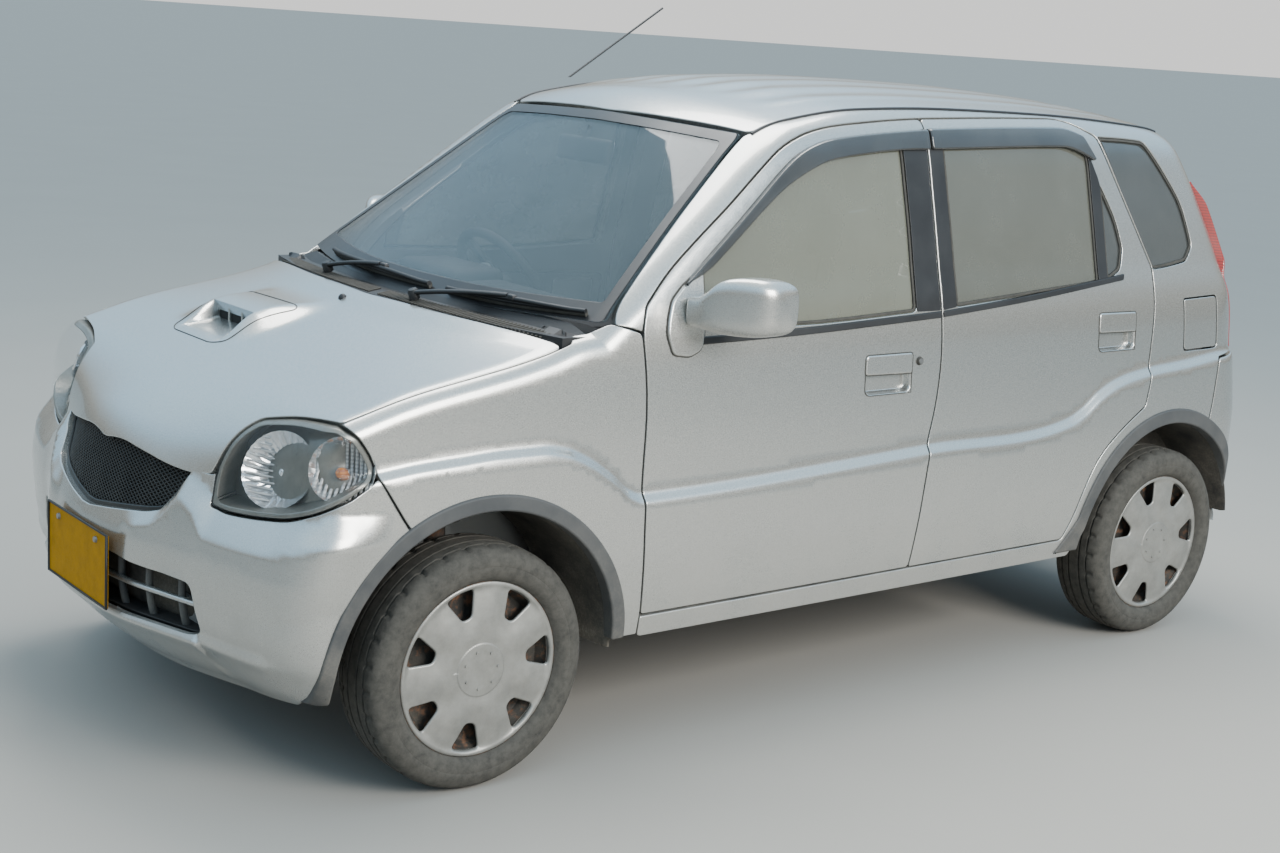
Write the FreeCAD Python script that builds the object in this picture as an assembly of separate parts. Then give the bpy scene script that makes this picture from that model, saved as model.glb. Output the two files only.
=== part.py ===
import FreeCAD
import Part
import math
import os

# A small five-door car with right-hand drive, in millimetres.
# +X points forward, +Y to the car's left, +Z up. The origin is on the ground,
# under the middle of the car.

os.makedirs("parts", exist_ok=True)
Vector = FreeCAD.Vector

# Driving dimensions of the whole car
length = 3395.0
width = 1475.0
height = 1545.0
wheelbase = 2360.0
front_overhang = 615.0
track = 1290.0
panel_gap = 5.0
sill_height = 283.0
belt_height = 985.0
bumper_bottom = 195.0
half_length = length / 2
half_width = width / 2
front_axle_x = half_length - front_overhang
rear_axle_x = front_axle_x - wheelbase

# Walls and clearances
skin_depth = 14.0
door_skin_depth = 20.0
frame_depth = 42.0
roof_depth = 30.0
bonnet_depth = 25.0
door_inner_y = 605.0
edge_rebate = 24.0
post_width = 90.0
sill_top = 332.0
glass_depth = 9.0
glass_thickness = 4.0
seat_clearance = 0.3
running_clearance = 0.05

# Wheels
tyre_radius = 276.8
tyre_width = 165.0
bead_radius = 176.0
rim_wall = 8.0
cap_radius = 200.0
cap_offset = 67.0
cap_thickness = 6.0
spoke_count = 7
window_inner_radius = 112.0
window_outer_radius = 168.0
window_half_angle = 15.0
spindle_radius = 16.0
hub_radius = 62.0

# Front rails, with the towing eye's socket in the end of the right one
rail_y = 330.0
rail_z = 360.0
rail_half = 25.0
rail_end_x = 1570.0
tow_bore_radius = 9.0
tow_bore_depth = 40.0
tow_cap_radius = 26.0

# Steering
kingpin_low_y = 600.0
kingpin_low_z = 190.0
kingpin_high_y = 500.0
kingpin_high_z = 790.0
kingpin_pin_radius = 9.0

# Wheel openings in the body
rear_well_radius = 345.0
rear_well_inner_y = 535.0
arch_centre_z = 280.0
trim_inner_radius = 354.0
trim_outer_radius = 391.0
trim_proud = 2.5

# Plan outline of the body at each height. A setback is measured from the front or
# rear limit, an inset from the side limit. Corner columns are the ends of the
# long front and rear arcs.
lower_rows = [
    {"z": 165, "nose": 150, "corner_x": 265, "corner_y": 480, "front": 405, "side": 46,
     "rear": 200, "tail_x": 118, "tail_y": 600, "tail": 78},
    {"z": 330, "nose": 22, "corner_x": 140, "corner_y": 505, "front": 362, "side": 10,
     "rear": 108, "tail_x": 42, "tail_y": 620, "tail": 8},
    {"z": 500, "nose": 8, "corner_x": 135, "corner_y": 515, "front": 360, "side": 2.5,
     "rear": 88, "tail_x": 28, "tail_y": 630, "tail": 0},
    {"z": 640, "nose": 38, "corner_x": 165, "corner_y": 520, "front": 360, "side": 4.5,
     "rear": 88, "tail_x": 28, "tail_y": 630, "tail": 0},
    {"z": 700, "nose": 57, "corner_x": 198, "corner_y": 520, "front": 368, "side": 21.5,
     "rear": 98, "tail_x": 38, "tail_y": 620, "tail": 8},
    {"z": 830, "nose": 90, "corner_x": 235, "corner_y": 520, "front": 388, "side": 31.5,
     "rear": 115, "tail_x": 62, "tail_y": 625, "tail": 28},
    {"z": 985, "nose": 130, "corner_x": 275, "corner_y": 505, "front": 418, "side": 48.5,
     "rear": 114, "tail_x": 69, "tail_y": 630, "tail": 40},
]
upper_rows = [
    {"z": 985, "nose": 774, "corner_x": 895, "corner_y": 650, "front": 957, "side": 48.5,
     "rear": 114, "tail_x": 69, "tail_y": 630, "tail": 40},
    {"z": 1300, "nose": 1213, "corner_x": 1297, "corner_y": 540, "front": 1382, "side": 127.5,
     "rear": 267, "tail_x": 219, "tail_y": 545, "tail": 189},
    {"z": 1400, "nose": 1352, "corner_x": 1425, "corner_y": 505, "front": 1517, "side": 152.5,
     "rear": 330, "tail_x": 279, "tail_y": 515, "tail": 251},
    {"z": 1570, "nose": 1589, "corner_x": 1635, "corner_y": 395, "front": 1717, "side": 250.5,
     "rear": 435, "tail_x": 385, "tail_y": 395, "tail": 357},
]
corner_bulge = 0.16


def arc(a, b, c):
    return Part.Arc(a, b, c).toShape()


def line(a, b):
    return Part.LineSegment(a, b).toShape()


def bulged(a, b, share):
    """Point outside the middle of the chord from a to b, away from the middle of the car."""
    middle = (a + b) * 0.5
    across = Vector(b.y - a.y, a.x - b.x, 0) * share
    if across.dot(Vector(middle.x, middle.y, 0)) < 0:
        across = across * -1
    return middle + across


def waterline(row, side, nose, tail):
    """Closed plan outline at one height, drawn in by the given insets."""
    z = row["z"]
    side_y = half_width - row["side"] - side
    corner_y = row["corner_y"] - side
    tail_y = row["tail_y"] - side
    nose_x = half_length - row["nose"] - nose
    corner_x = half_length - row["corner_x"] - nose
    front_x = half_length - row["front"] - nose * 0.4
    rear_x = row["rear"] - half_length + tail * 0.4
    tail_x = row["tail_x"] - half_length + tail
    end_x = row["tail"] - half_length + tail
    nose_l = Vector(corner_x, corner_y, z)
    nose_r = Vector(corner_x, -corner_y, z)
    front_l = Vector(front_x, side_y, z)
    front_r = Vector(front_x, -side_y, z)
    rear_l = Vector(rear_x, side_y, z)
    rear_r = Vector(rear_x, -side_y, z)
    tail_l = Vector(tail_x, tail_y, z)
    tail_r = Vector(tail_x, -tail_y, z)
    return Part.Wire([
        arc(nose_r, Vector(nose_x, 0, z), nose_l),
        arc(nose_l, bulged(nose_l, front_l, corner_bulge), front_l),
        line(front_l, rear_l),
        arc(rear_l, bulged(rear_l, tail_l, corner_bulge), tail_l),
        arc(tail_l, Vector(end_x, 0, z), tail_r),
        arc(tail_r, bulged(tail_r, rear_r, corner_bulge), rear_r),
        line(rear_r, front_r),
        arc(front_r, bulged(front_r, nose_r, corner_bulge), nose_r),
    ])


def lofted(rows, side, nose, tail):
    wires = [waterline(row, side, nose, tail) for row in rows]
    return Part.makeLoft(wires, True, True)


def box(x0, x1, y0, y1, z0, z1):
    return Part.makeBox(x1 - x0, y1 - y0, z1 - z0, Vector(x0, y0, z0))


def offset_polygon(points, distance):
    """The same polygon with each side moved out by the distance (in, if negative)."""
    area = 0.0
    count = len(points)
    for i in range(count):
        x0, z0 = points[i]
        x1, z1 = points[(i + 1) % count]
        area += x0 * z1 - x1 * z0
    turn = 1.0 if area > 0 else -1.0
    sides = []
    for i in range(count):
        x0, z0 = points[i]
        x1, z1 = points[(i + 1) % count]
        run = math.hypot(x1 - x0, z1 - z0)
        nx = turn * (z1 - z0) / run * distance
        nz = -turn * (x1 - x0) / run * distance
        sides.append((x0 + nx, z0 + nz, (x1 - x0) / run, (z1 - z0) / run))
    moved = []
    for i in range(count):
        ax, az, adx, adz = sides[i - 1]
        bx, bz, bdx, bdz = sides[i]
        cross = adx * bdz - adz * bdx
        if abs(cross) < 1e-6:
            moved.append((bx, bz))
            continue
        along = ((bx - ax) * bdz - (bz - az) * bdx) / cross
        moved.append((ax + adx * along, az + adz * along))
    return moved


def prism_xz(points, y0, y1, grow=0.0):
    """Side-view outline (x, z) carried from y0 to y1."""
    if grow:
        points = offset_polygon(points, grow)
    ring = [Vector(x, y0, z) for x, z in points]
    face = Part.Face(Part.makePolygon(ring + ring[:1]))
    return face.extrude(Vector(0, y1 - y0, 0))


def prism_yz(points, x0, x1, grow=0.0):
    """Front-view outline (y, z) carried from x0 to x1."""
    if grow:
        points = offset_polygon(points, grow)
    ring = [Vector(x0, y, z) for y, z in points]
    face = Part.Face(Part.makePolygon(ring + ring[:1]))
    return face.extrude(Vector(x1 - x0, 0, 0))


def prism_xy(points, z0, z1, grow=0.0):
    """Plan outline (x, y) carried from z0 to z1."""
    if grow:
        points = offset_polygon(points, grow)
    ring = [Vector(x, y, z0) for x, y in points]
    face = Part.Face(Part.makePolygon(ring + ring[:1]))
    return face.extrude(Vector(0, 0, z1 - z0))


def mirrored(shape):
    return shape.mirror(Vector(0, 0, 0), Vector(0, 1, 0))


def both_sides(points):
    """A half outline in (y, z), listed upward on the left, closed across the middle."""
    return points + [(-y, z) for y, z in reversed(points)]


def cylinder(radius, start, end):
    along = end - start
    return Part.makeCylinder(radius, along.Length, start, along)


def tube(outer, inner, start, end):
    return cylinder(outer, start, end).cut(cylinder(inner, start, end))


# Side view of the top of the bonnet, from the front edge back to the cowl
bonnet_front_z = 705.0
bonnet_line = [
    (half_length - 57, bonnet_front_z),
    (half_length - 97, 752.0),
    (half_length - 157, 793.0),
    (half_length - 232, 825.0),
    (half_length - 450, 893.0),
    (half_length - 722, belt_height),
]
# Side view of the middle of the roof
roof_line = [
    (230.0, 1484.0),
    (100.0, height - 35),
    (-100.0, height - 9),
    (-400.0, height),
    (-800.0, height - 6),
    (-1150.0, height - 25),
    (-1400.0, height - 50),
]
roof_crown_drop = 47.0
roof_crown_half_width = 500.0
shoulder_y = 568.0
shoulder_z = 1462.0


def bonnet_cutter(drop):
    """Everything above the bonnet, ahead of the windscreen."""
    top = [(x, z - drop) for x, z in bonnet_line]
    first_x, first_z = top[0]
    last_x, last_z = top[-1]
    outline = [(half_length + 300, first_z)] + top
    outline += [(last_x - 1, height + 300), (half_length + 300, height + 300)]
    return prism_xz(outline, -width, width)


def roof_keeper(drop):
    """Everything under the roof skin, as a crowned bar along the car."""
    crown = roof_crown_half_width
    top_z = height - drop
    edge_z = top_z - roof_crown_drop
    shoulder = shoulder_z - drop
    points_y = shoulder_y - drop * 0.5
    low = 100.0
    wire = Part.Wire([
        arc(Vector(0, crown, edge_z), Vector(0, 0, top_z), Vector(0, -crown, edge_z)),
        line(Vector(0, -crown, edge_z), Vector(0, -points_y, shoulder)),
        line(Vector(0, -points_y, shoulder), Vector(0, -width, shoulder - 400)),
        line(Vector(0, -width, shoulder - 400), Vector(0, -width, low)),
        line(Vector(0, -width, low), Vector(0, width, low)),
        line(Vector(0, width, low), Vector(0, width, shoulder - 400)),
        line(Vector(0, width, shoulder - 400), Vector(0, points_y, shoulder)),
        line(Vector(0, points_y, shoulder), Vector(0, crown, edge_z)),
    ])
    bar = Part.Face(wire).extrude(Vector(length * 1.2, 0, 0))
    bar.translate(Vector(-length * 0.6, 0, 0))
    return bar


def roof_cutter(drop):
    """Everything above the middle line of the roof."""
    top = [(x, z - drop) for x, z in roof_line]
    first_x, first_z = top[0]
    last_x, last_z = top[-1]
    outline = [(first_x + 400, first_z - 230)] + top
    outline += [(last_x - 300, last_z - 60), (last_x - 300, height + 300)]
    outline += [(first_x + 400, height + 300)]
    return prism_xz(outline, -width, width)


def lower_solid(side, nose, tail, top):
    return lofted(lower_rows, side, nose, tail).cut(bonnet_cutter(top))


def upper_solid(side, nose, tail, top):
    raised = lofted(upper_rows, side, nose, tail)
    return raised.common(roof_keeper(top)).cut(roof_cutter(top))


outer_lower = lower_solid(0, 0, 0, 0)
outer_upper = upper_solid(0, 0, 0, 0)
skin_lower = outer_lower.cut(lower_solid(skin_depth, skin_depth, skin_depth, skin_depth))
door_lower = outer_lower.cut(lower_solid(door_skin_depth, 40, 40, door_skin_depth))
frame_upper = outer_upper.cut(upper_solid(frame_depth, 40, 40, roof_depth))
door_upper = outer_upper.cut(upper_solid(door_skin_depth, 20, 20, door_skin_depth))
inner_upper = upper_solid(door_skin_depth, 20, 20, roof_depth)
inner_upper = inner_upper.cut(upper_solid(frame_depth, 60, 60, roof_depth))
pane_upper = upper_solid(glass_depth, glass_depth, glass_depth, glass_depth).cut(
    upper_solid(glass_depth + glass_thickness, glass_depth + glass_thickness,
                glass_depth + glass_thickness, glass_depth + glass_thickness))
left_half = box(-half_length - 50, half_length + 50, 0, width, 0, height + 100)

# Side-view outlines (x, z), on the middle of the gap round each opening panel
front_door_outline = [
    (653, 340), (667, 624), (656, 829), (671, 992), (655, 1048), (578, 1122), (378, 1268),
    (203, 1399), (124, 1430), (-22, 1454), (-297, 1474), (-297, 985), (-298, 866),
    (-284, 748), (-258, 650), (-225, 340),
]
rear_door_outline = [
    (-225, 340), (-258, 650), (-284, 748), (-298, 866), (-297, 985), (-297, 1474),
    (-878, 1486), (-982, 1440), (-1177, 1084), (-1180, 976), (-1163, 801), (-1141, 698),
    (-1040, 645), (-953, 571), (-905, 490), (-870, 400), (-835, 340),
]
front_window_outline = [
    (535, 985), (535, 1085), (486, 1125), (350, 1228), (209, 1339), (140, 1380), (78, 1402),
    (-156, 1428), (-203, 1430), (-203, 998),
]
rear_window_outline = [
    (-355, 1005), (-352, 1440), (-847, 1452), (-912, 1437), (-930, 1385), (-930, 1052),
]
rear_vent_outline = [
    (-974, 1056), (-974, 1305), (-1030, 1214), (-1048, 1137), (-1033, 1082),
]
quarter_outline = [
    (-1040, 1428), (-1191, 1424), (-1339, 1260), (-1372, 1137), (-1340, 1099), (-1212, 1084),
]
fuel_lid_outline = [(-1320, 990), (-1476, 995), (-1481, 846), (-1325, 843)]
fender_outline = [
    (653, 283), (653, 340), (667, 624), (656, 829), (671, 992), (760, 1010), (1100, 1010),
    (1420, 900), (1348, 731), (1294, 640), (1294, 283),
]
# Front-view outlines (y, z)
windscreen_half = [(652, 1004), (484, 1424)]
tailgate_half = [(566, 648), (566, 985), (498, 1375), (470, 1600)]
rear_glass_half = [(505, 1020), (430, 1385)]
grille_half = [(0, 540), (272, 585), (325, 676), (335, 705)]
lower_grille_half = [(430, 250), (455, 318)]
lamp_half = [(414, 634), (560, 652), (700, 720), (760, 745), (760, 870), (450, 870), (446, 817)]
# Plan outline (x, y) of half the bonnet
bonnet_half = [
    (half_length - 56, 0), (half_length - 70, 170), (half_length - 104, 300),
    (half_length - 132, 372), (half_length - 160, 408), (half_length - 232, 453),
    (half_length - 288, 600), (half_length - 294, 668), (878, 668), (918, 500), (952, 320),
    (976, 0),
]
lamp_low_z = 828.0
tail_lamp_line = [
    (-1418, 1325), (-1560, 1064), (-1576, lamp_low_z), (-1900, lamp_low_z), (-1900, 1325),
]
bumper_seam = [(-1576, lamp_low_z), (-1480, 818), (-1464, 682)]
tailgate_top_x = -1348.0
tailgate_depth = 60.0


def clip(shape, cutter):
    return shape.common(cutter)


def door(outline, windows):
    """Left door with its thick inner part drawn in from the edge all round."""
    inner_limit = roof_crown_half_width + panel_gap
    rim = prism_xz(outline, inner_limit, width, -panel_gap / 2)
    core = prism_xz(outline, inner_limit, width, -panel_gap / 2 - edge_rebate)
    inside = box(-half_length, half_length, -door_inner_y, door_inner_y, 0, belt_height)
    block = outer_lower.cut(inside).cut(door_lower)
    skin = clip(door_lower, rim).fuse(clip(door_upper, rim))
    bulk = clip(block, core).fuse(clip(inner_upper, core))
    whole = skin.fuse(bulk)
    for window in windows:
        whole = whole.cut(prism_xz(window, 300, width))
    return whole.removeSplitter()


def pane(window, grow):
    return clip(pane_upper, prism_xz(window, 300, width, grow))


mirror_x = 600.0
mirror_y = 790.0
mirror_z = 1045.0
mirror_depth = 75.0
mirror_width = 160.0
mirror_height = 115.0
mirror_arm_height = 40.0


def door_mirror():
    """Mirror head with the arm that carries it on the front corner of the window."""
    half = mirror_height / 2
    head = box(mirror_x - mirror_depth / 2, mirror_x + mirror_depth / 2,
               mirror_y - mirror_width / 2, mirror_y + mirror_width / 2,
               mirror_z - half, mirror_z + half)
    head = head.makeFillet(24.0, [e for e in head.Edges if e.BoundBox.XLength < 1.0])
    arm = box(mirror_x - 20, mirror_x + 20, 660, mirror_y - mirror_width / 2 + 10,
              mirror_z - mirror_arm_height, mirror_z)
    return head.fuse(arm).cut(outer_upper).removeSplitter()


front_door_left = door(front_door_outline, [front_window_outline])
rear_door_left = door(rear_door_outline, [rear_window_outline, rear_vent_outline])
front_glass_left = pane(front_window_outline, 8)
rear_glass_left = pane(rear_window_outline, 8).fuse(pane(rear_vent_outline, 8))
mirror_left = door_mirror()


def arch_cylinder(x, radius, y0, y1):
    return cylinder(radius, Vector(x, y0, arch_centre_z), Vector(x, y1, arch_centre_z))


front_arch_cut = arch_cylinder(front_axle_x, trim_inner_radius, 300, width)
rear_arch_cut = arch_cylinder(rear_axle_x, trim_inner_radius, 300, width)

bonnet_outline = bonnet_half + [(x, -y) for x, y in reversed(bonnet_half[1:-1])]
bonnet_prism = prism_xy(bonnet_outline, 650, 1100)
bonnet_clear = prism_xy(bonnet_outline, 650, 1100, panel_gap)
tailgate_outline = both_sides(tailgate_half)
tailgate_clear = prism_yz(tailgate_outline, -half_length - 100,
                          tailgate_top_x + panel_gap, panel_gap)
windscreen_prism = prism_yz(both_sides(windscreen_half), 0, half_length)
grille_prism = prism_yz(both_sides(grille_half[1:]) + [(0, 540)], 1300, 1800)
lower_grille_prism = prism_yz(both_sides(lower_grille_half), 1300, 1800)


def body_side():
    """Left side frame: sill, pillars, roof rail and rear quarter with its wheelhouse."""
    lower = outer_lower.cut(box(-half_length, half_length, -door_inner_y, door_inner_y, 0,
                                belt_height))
    lower = clip(lower, prism_xz([(653, sill_height), (653, 334), (667, 624), (656, 829),
                                  (668, 985), (-1640, 985), (-1640, lamp_low_z)]
                                 + bumper_seam + [(bumper_seam[-1][0], sill_height)],
                                 300, width))
    pillar = box(676, 712, door_inner_y - 60, door_inner_y + 70, sill_height, 960)
    upper = clip(frame_upper, left_half)
    upper = upper.cut(box(-half_length, half_length, 0, roof_crown_half_width, 1300, 1700))
    shape = lower.fuse(clip(upper, box(-half_length, 800, 400, width, 985, 1700)))
    for outline in (front_door_outline, rear_door_outline):
        shape = shape.cut(prism_xz(outline, 300, width, panel_gap / 2))
    shape = shape.cut(box(-835, 653, door_inner_y, 700, sill_top, 345))
    shape = shape.cut(windscreen_prism)
    shape = shape.cut(tailgate_clear)
    shape = shape.cut(prism_xz(quarter_outline, 300, width))
    shape = shape.cut(rear_arch_cut)
    lamp = prism_xz(tail_lamp_line, 520, width)
    shape = shape.cut(lamp)
    post_back = -300 - post_width / 2
    post_front = -300 + post_width / 2
    in_y = door_inner_y - 60
    post_foot = sill_height + 0.5
    post = prism_yz([(in_y, post_foot), (in_y + 60, post_foot), (in_y + 60, 334),
                     (in_y + 35, 334), (in_y + 35, 800), (in_y + 52, 840), (in_y + 52, 1000),
                     (in_y, 1000)], post_back, post_front)
    hoop = upper_solid(frame_depth + 6, 60, 60, roof_depth)
    hoop = hoop.cut(upper_solid(frame_depth + 70, 60, 60, roof_depth + 40))
    hoop = clip(hoop, box(post_back, post_front, 380, width, 992, 1700))
    house = arch_cylinder(rear_axle_x, rear_well_radius + 8, rear_well_inner_y, 700)
    house = house.cut(arch_cylinder(rear_axle_x, rear_well_radius, rear_well_inner_y + 6, 720))
    house = clip(house, box(-1700, -800, 0, width, sill_height, 800))
    house = house.cut(box(-1700, -1470, 300, width, 0, 700))
    house = house.cut(cylinder(70, Vector(rear_axle_x, 500, tyre_radius),
                               Vector(rear_axle_x, 600, tyre_radius)))
    seal_y = door_inner_y - seat_clearance
    seals = box(post_front - 7, post_front, in_y + 30, seal_y, 870, 960)
    seals = seals.fuse(box(post_back, post_back + 10, in_y + 30, seal_y, 825, 960))
    shape = shape.fuse(house).fuse(pillar).fuse(post).fuse(hoop).fuse(seals)
    return shape.removeSplitter()


body_side_left = body_side()
body_side_right = mirrored(body_side_left)


def fuel_pocket(grow, depth):
    deep = outer_lower.common(prism_xz(fuel_lid_outline, 400, width, grow))
    keep = lower_solid(depth, 0, 0, 0)
    return deep.cut(keep)


fuel_lid_depth = 8.0
fuel_pocket_depth = 60.0
fuel_lid = fuel_pocket(-panel_gap / 2, fuel_lid_depth)
body_side_left = body_side_left.cut(fuel_pocket(panel_gap / 2, fuel_pocket_depth))
lid_pad = lower_solid(fuel_lid_depth + seat_clearance, 0, 0, 0)
lid_pad = clip(lid_pad, box(-1472, -1460, 500, width, 905, 925))
lid_pad = lid_pad.cut(lower_solid(fuel_pocket_depth, 0, 0, 0))
body_side_left = body_side_left.fuse(lid_pad)


def roof():
    shape = outer_upper.cut(upper_solid(frame_depth, 40, 40, roof_depth))
    wide = box(-half_length, 800, -roof_crown_half_width, roof_crown_half_width, 1380, 1700)
    shape = clip(shape, wide)
    shape = shape.cut(windscreen_prism)
    shape = shape.cut(box(-half_length, tailgate_top_x + panel_gap, -width, width, 0, 2000))
    return shape.removeSplitter()


roof_panel = roof()
windscreen = clip(pane_upper, prism_yz(both_sides(windscreen_half), 0, half_length, 12.0))
windscreen = windscreen.cut(roof_panel).cut(body_side_left).cut(body_side_right)
quarter_glass_left = pane(quarter_outline, 8).cut(body_side_left)


def tailgate():
    rim = prism_yz(tailgate_outline, -half_length - 100, tailgate_top_x)
    core = prism_yz(tailgate_outline, -half_length - 100, tailgate_top_x - edge_rebate,
                    -edge_rebate)
    skin = skin_lower.fuse(outer_upper.cut(upper_solid(14, 14, 14, 14)))
    skin = clip(skin, clip(rim, box(-half_length, -1200, -width, width, 648, 1700)))
    depth = tailgate_depth
    inner_low = lower_solid(14, 14, 14, 14).cut(lower_solid(depth, depth, depth, depth))
    inner_up = upper_solid(14, 14, 14, 14).cut(upper_solid(45, 45, 45, 45))
    bulk = clip(inner_low.fuse(inner_up), clip(core, box(-half_length, -1300, -width, width,
                                                         660, 1460)))
    shape = skin.fuse(bulk)
    return shape.cut(prism_yz(both_sides(rear_glass_half), -half_length - 50, -1000))


tailgate_panel = tailgate().removeSplitter()
tailgate_glass = clip(pane_upper, prism_yz(both_sides(rear_glass_half), -half_length, -1000,
                                           10.0)).cut(tailgate_panel)


def bonnet():
    top = bonnet_line + [(bonnet_line[-1][0] - 120, belt_height)]
    low = [(x, z - bonnet_depth) for x, z in top]
    slab = prism_xz(top + list(reversed(low)), -width, width)
    return clip(clip(slab, outer_lower), bonnet_prism)


bonnet_panel = bonnet().removeSplitter()

scoop_height = 34.0


def bonnet_scoop():
    """Low air intake on the right of the bonnet, open to the front."""
    line_z = {x: z for x, z in bonnet_line}
    front_z = line_z[half_length - 450]
    rise = (belt_height - front_z) / 272.0

    def panel_z(x):
        return front_z + (1247.5 - x) * rise

    profile = [(1270, panel_z(1270) - 3), (1270, panel_z(1270) + 3),
               (1255, panel_z(1255) + scoop_height),
               (1170, panel_z(1170) + scoop_height * 0.8), (1108, panel_z(1108) - 3)]
    hump = prism_xz(profile, -395, -100)
    mouth = prism_xz([(1280, panel_z(1280)), (1280, panel_z(1280) + 40),
                      (1200, panel_z(1200) + scoop_height - 12), (1200, panel_z(1200) + 6)],
                     -375, -120)
    return hump.cut(mouth).cut(bonnet_panel)


bonnet_panel = bonnet_panel.fuse(bonnet_scoop()).removeSplitter()


def fender():
    """Left front wing, from the door to the lamp, open round the wheel."""
    region = prism_xz(fender_outline, 300, width)
    shape = clip(clip(skin_lower, region), left_half)
    shape = shape.cut(prism_xz(front_door_outline, 300, width, panel_gap / 2))
    shape = shape.cut(bonnet_clear)
    shape = shape.cut(box(600, 1500, 0, door_inner_y - 60, 0, 1100))
    shape = shape.cut(prism_xz([(600, 0), (600, sill_height + 3), (1300, sill_height + 3),
                                (1300, 0)], 0, width))
    return shape.cut(front_arch_cut).removeSplitter()


fender_left = fender()
front_region = prism_xz([
    (1294, 0), (1294, 640), (1348, 731), (1420, 900), (1420, 1100), (1800, 1100), (1800, 0),
], -width, width)


def front_bumper():
    shape = clip(skin_lower, front_region)
    shape = shape.cut(bonnet_clear)
    shape = shape.cut(box(0, 1800, -width, width, 0, bumper_bottom))
    shape = shape.cut(box(0, 1800, -width, width, 745, 1200))
    for half in (lamp_half, [(-y, z) for y, z in lamp_half]):
        shape = shape.cut(prism_yz(half, 1200, 1800))
    shape = shape.cut(grille_prism).cut(lower_grille_prism)
    shape = shape.cut(cylinder(tow_cap_radius, Vector(1400, -rail_y, rail_z),
                               Vector(1800, -rail_y, rail_z)))
    shape = shape.cut(front_arch_cut).cut(mirrored(front_arch_cut))
    return shape


front_bumper_shell = front_bumper()


def headlamp():
    block = outer_lower.cut(lower_solid(95, 95, 95, 95))
    block = clip(clip(block, front_region), prism_yz(lamp_half, 1200, 1800))
    block = block.cut(bonnet_clear)
    return block.cut(fender_left)


headlamp_left = headlamp()
grille_recess = 22.0
grille_thickness = 8.0


def grille():
    """Black mesh panel behind the upper opening, and the one behind the lower slot."""
    outside = lower_solid(grille_recess, grille_recess, grille_recess, grille_recess)
    inside = lower_solid(grille_recess + grille_thickness, grille_recess + grille_thickness,
                         grille_recess + grille_thickness, grille_recess + grille_thickness)
    sheet = outside.cut(inside)
    upper = prism_yz(offset_polygon(both_sides(grille_half[1:]) + [(0, 540)], 4.0), 1300, 1800)
    upper = clip(sheet, upper)
    lower = clip(sheet, prism_yz(both_sides(lower_grille_half), 1300, 1800, 4.0))
    frame = lower_solid(skin_depth, skin_depth, skin_depth, skin_depth).cut(outside)
    upper_rim = clip(frame, prism_yz(offset_polygon(
        both_sides(grille_half[1:]) + [(0, 540)], 4.0), 1300, 1800))
    upper_rim = upper_rim.cut(prism_yz(offset_polygon(
        both_sides(grille_half[1:]) + [(0, 540)], -8.0), 1300, 1800))
    lower_rim = clip(frame, prism_yz(both_sides(lower_grille_half), 1300, 1800, 4.0))
    lower_rim = lower_rim.cut(prism_yz(both_sides(lower_grille_half), 1300, 1800, -8.0))
    shape = upper.fuse(upper_rim).fuse(lower).fuse(lower_rim)
    return shape.cut(bonnet_clear)


grille_panel = grille()


def arch_trims():
    """Dark plastic strips round the four wheel openings."""
    proud = lower_solid(-trim_proud, -trim_proud, -trim_proud, 0)
    band = proud.cut(lower_solid(skin_depth, skin_depth, skin_depth, skin_depth))
    pieces = []
    for x, low in ((front_axle_x, 286.0), (rear_axle_x, 300.0)):
        ring = arch_cylinder(x, trim_outer_radius, 500, width)
        ring = ring.cut(arch_cylinder(x, trim_inner_radius, 500, width))
        ring = clip(ring, box(x - 600, x + 600, 500, width, low, 900))
        strip = clip(band, ring)
        pieces.append(strip)
        pieces.append(mirrored(strip))
    return Part.makeCompound(pieces)


trims = arch_trims()
trim_void_front = arch_cylinder(front_axle_x, trim_outer_radius, 500, width)
trim_void_rear = arch_cylinder(rear_axle_x, trim_outer_radius, 500, width)
trim_floor = box(-half_length, half_length, 500, width, 0, 286)
trim_void_front = trim_void_front.cut(trim_floor)
trim_void_rear = trim_void_rear.cut(box(-half_length, half_length, 500, width, 0, 300))
fender_left = fender_left.cut(trim_void_front)
front_bumper_shell = front_bumper_shell.cut(trim_void_front).cut(mirrored(trim_void_front))
body_side_left = body_side_left.cut(clip(trim_void_rear, skin_lower))
body_side_right = body_side_right.cut(clip(mirrored(trim_void_rear), skin_lower))


def rear_bumper():
    low = 300.0
    region = prism_xz([(-1900, low), (-1900, lamp_low_z)] + bumper_seam
                      + [(bumper_seam[-1][0], low)], -width, width)
    shape = clip(skin_lower, region)
    shape = shape.cut(prism_yz(both_sides([(571, 643), (571, 900)]), -1800, -1300))
    shape = shape.cut(rear_arch_cut).cut(mirrored(rear_arch_cut))
    return shape.cut(trim_void_rear).cut(mirrored(trim_void_rear))


rear_bumper_shell = rear_bumper()


def tail_lamp():
    depth = outer_upper.cut(upper_solid(60, 60, 60, 60))
    low = outer_lower.cut(lower_solid(60, 60, 60, 60))
    region = prism_xz(tail_lamp_line, 520, width)
    shape = clip(depth.fuse(low), region)
    return shape.cut(tailgate_clear).removeSplitter()


tail_lamp_left = tail_lamp()

# Under the skin
floor_low = 225.0
floor_thickness = 28.0
kick_x = -480.0
rear_floor_z = 400.0
tunnel_half = 95.0
tunnel_height = 95.0


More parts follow.
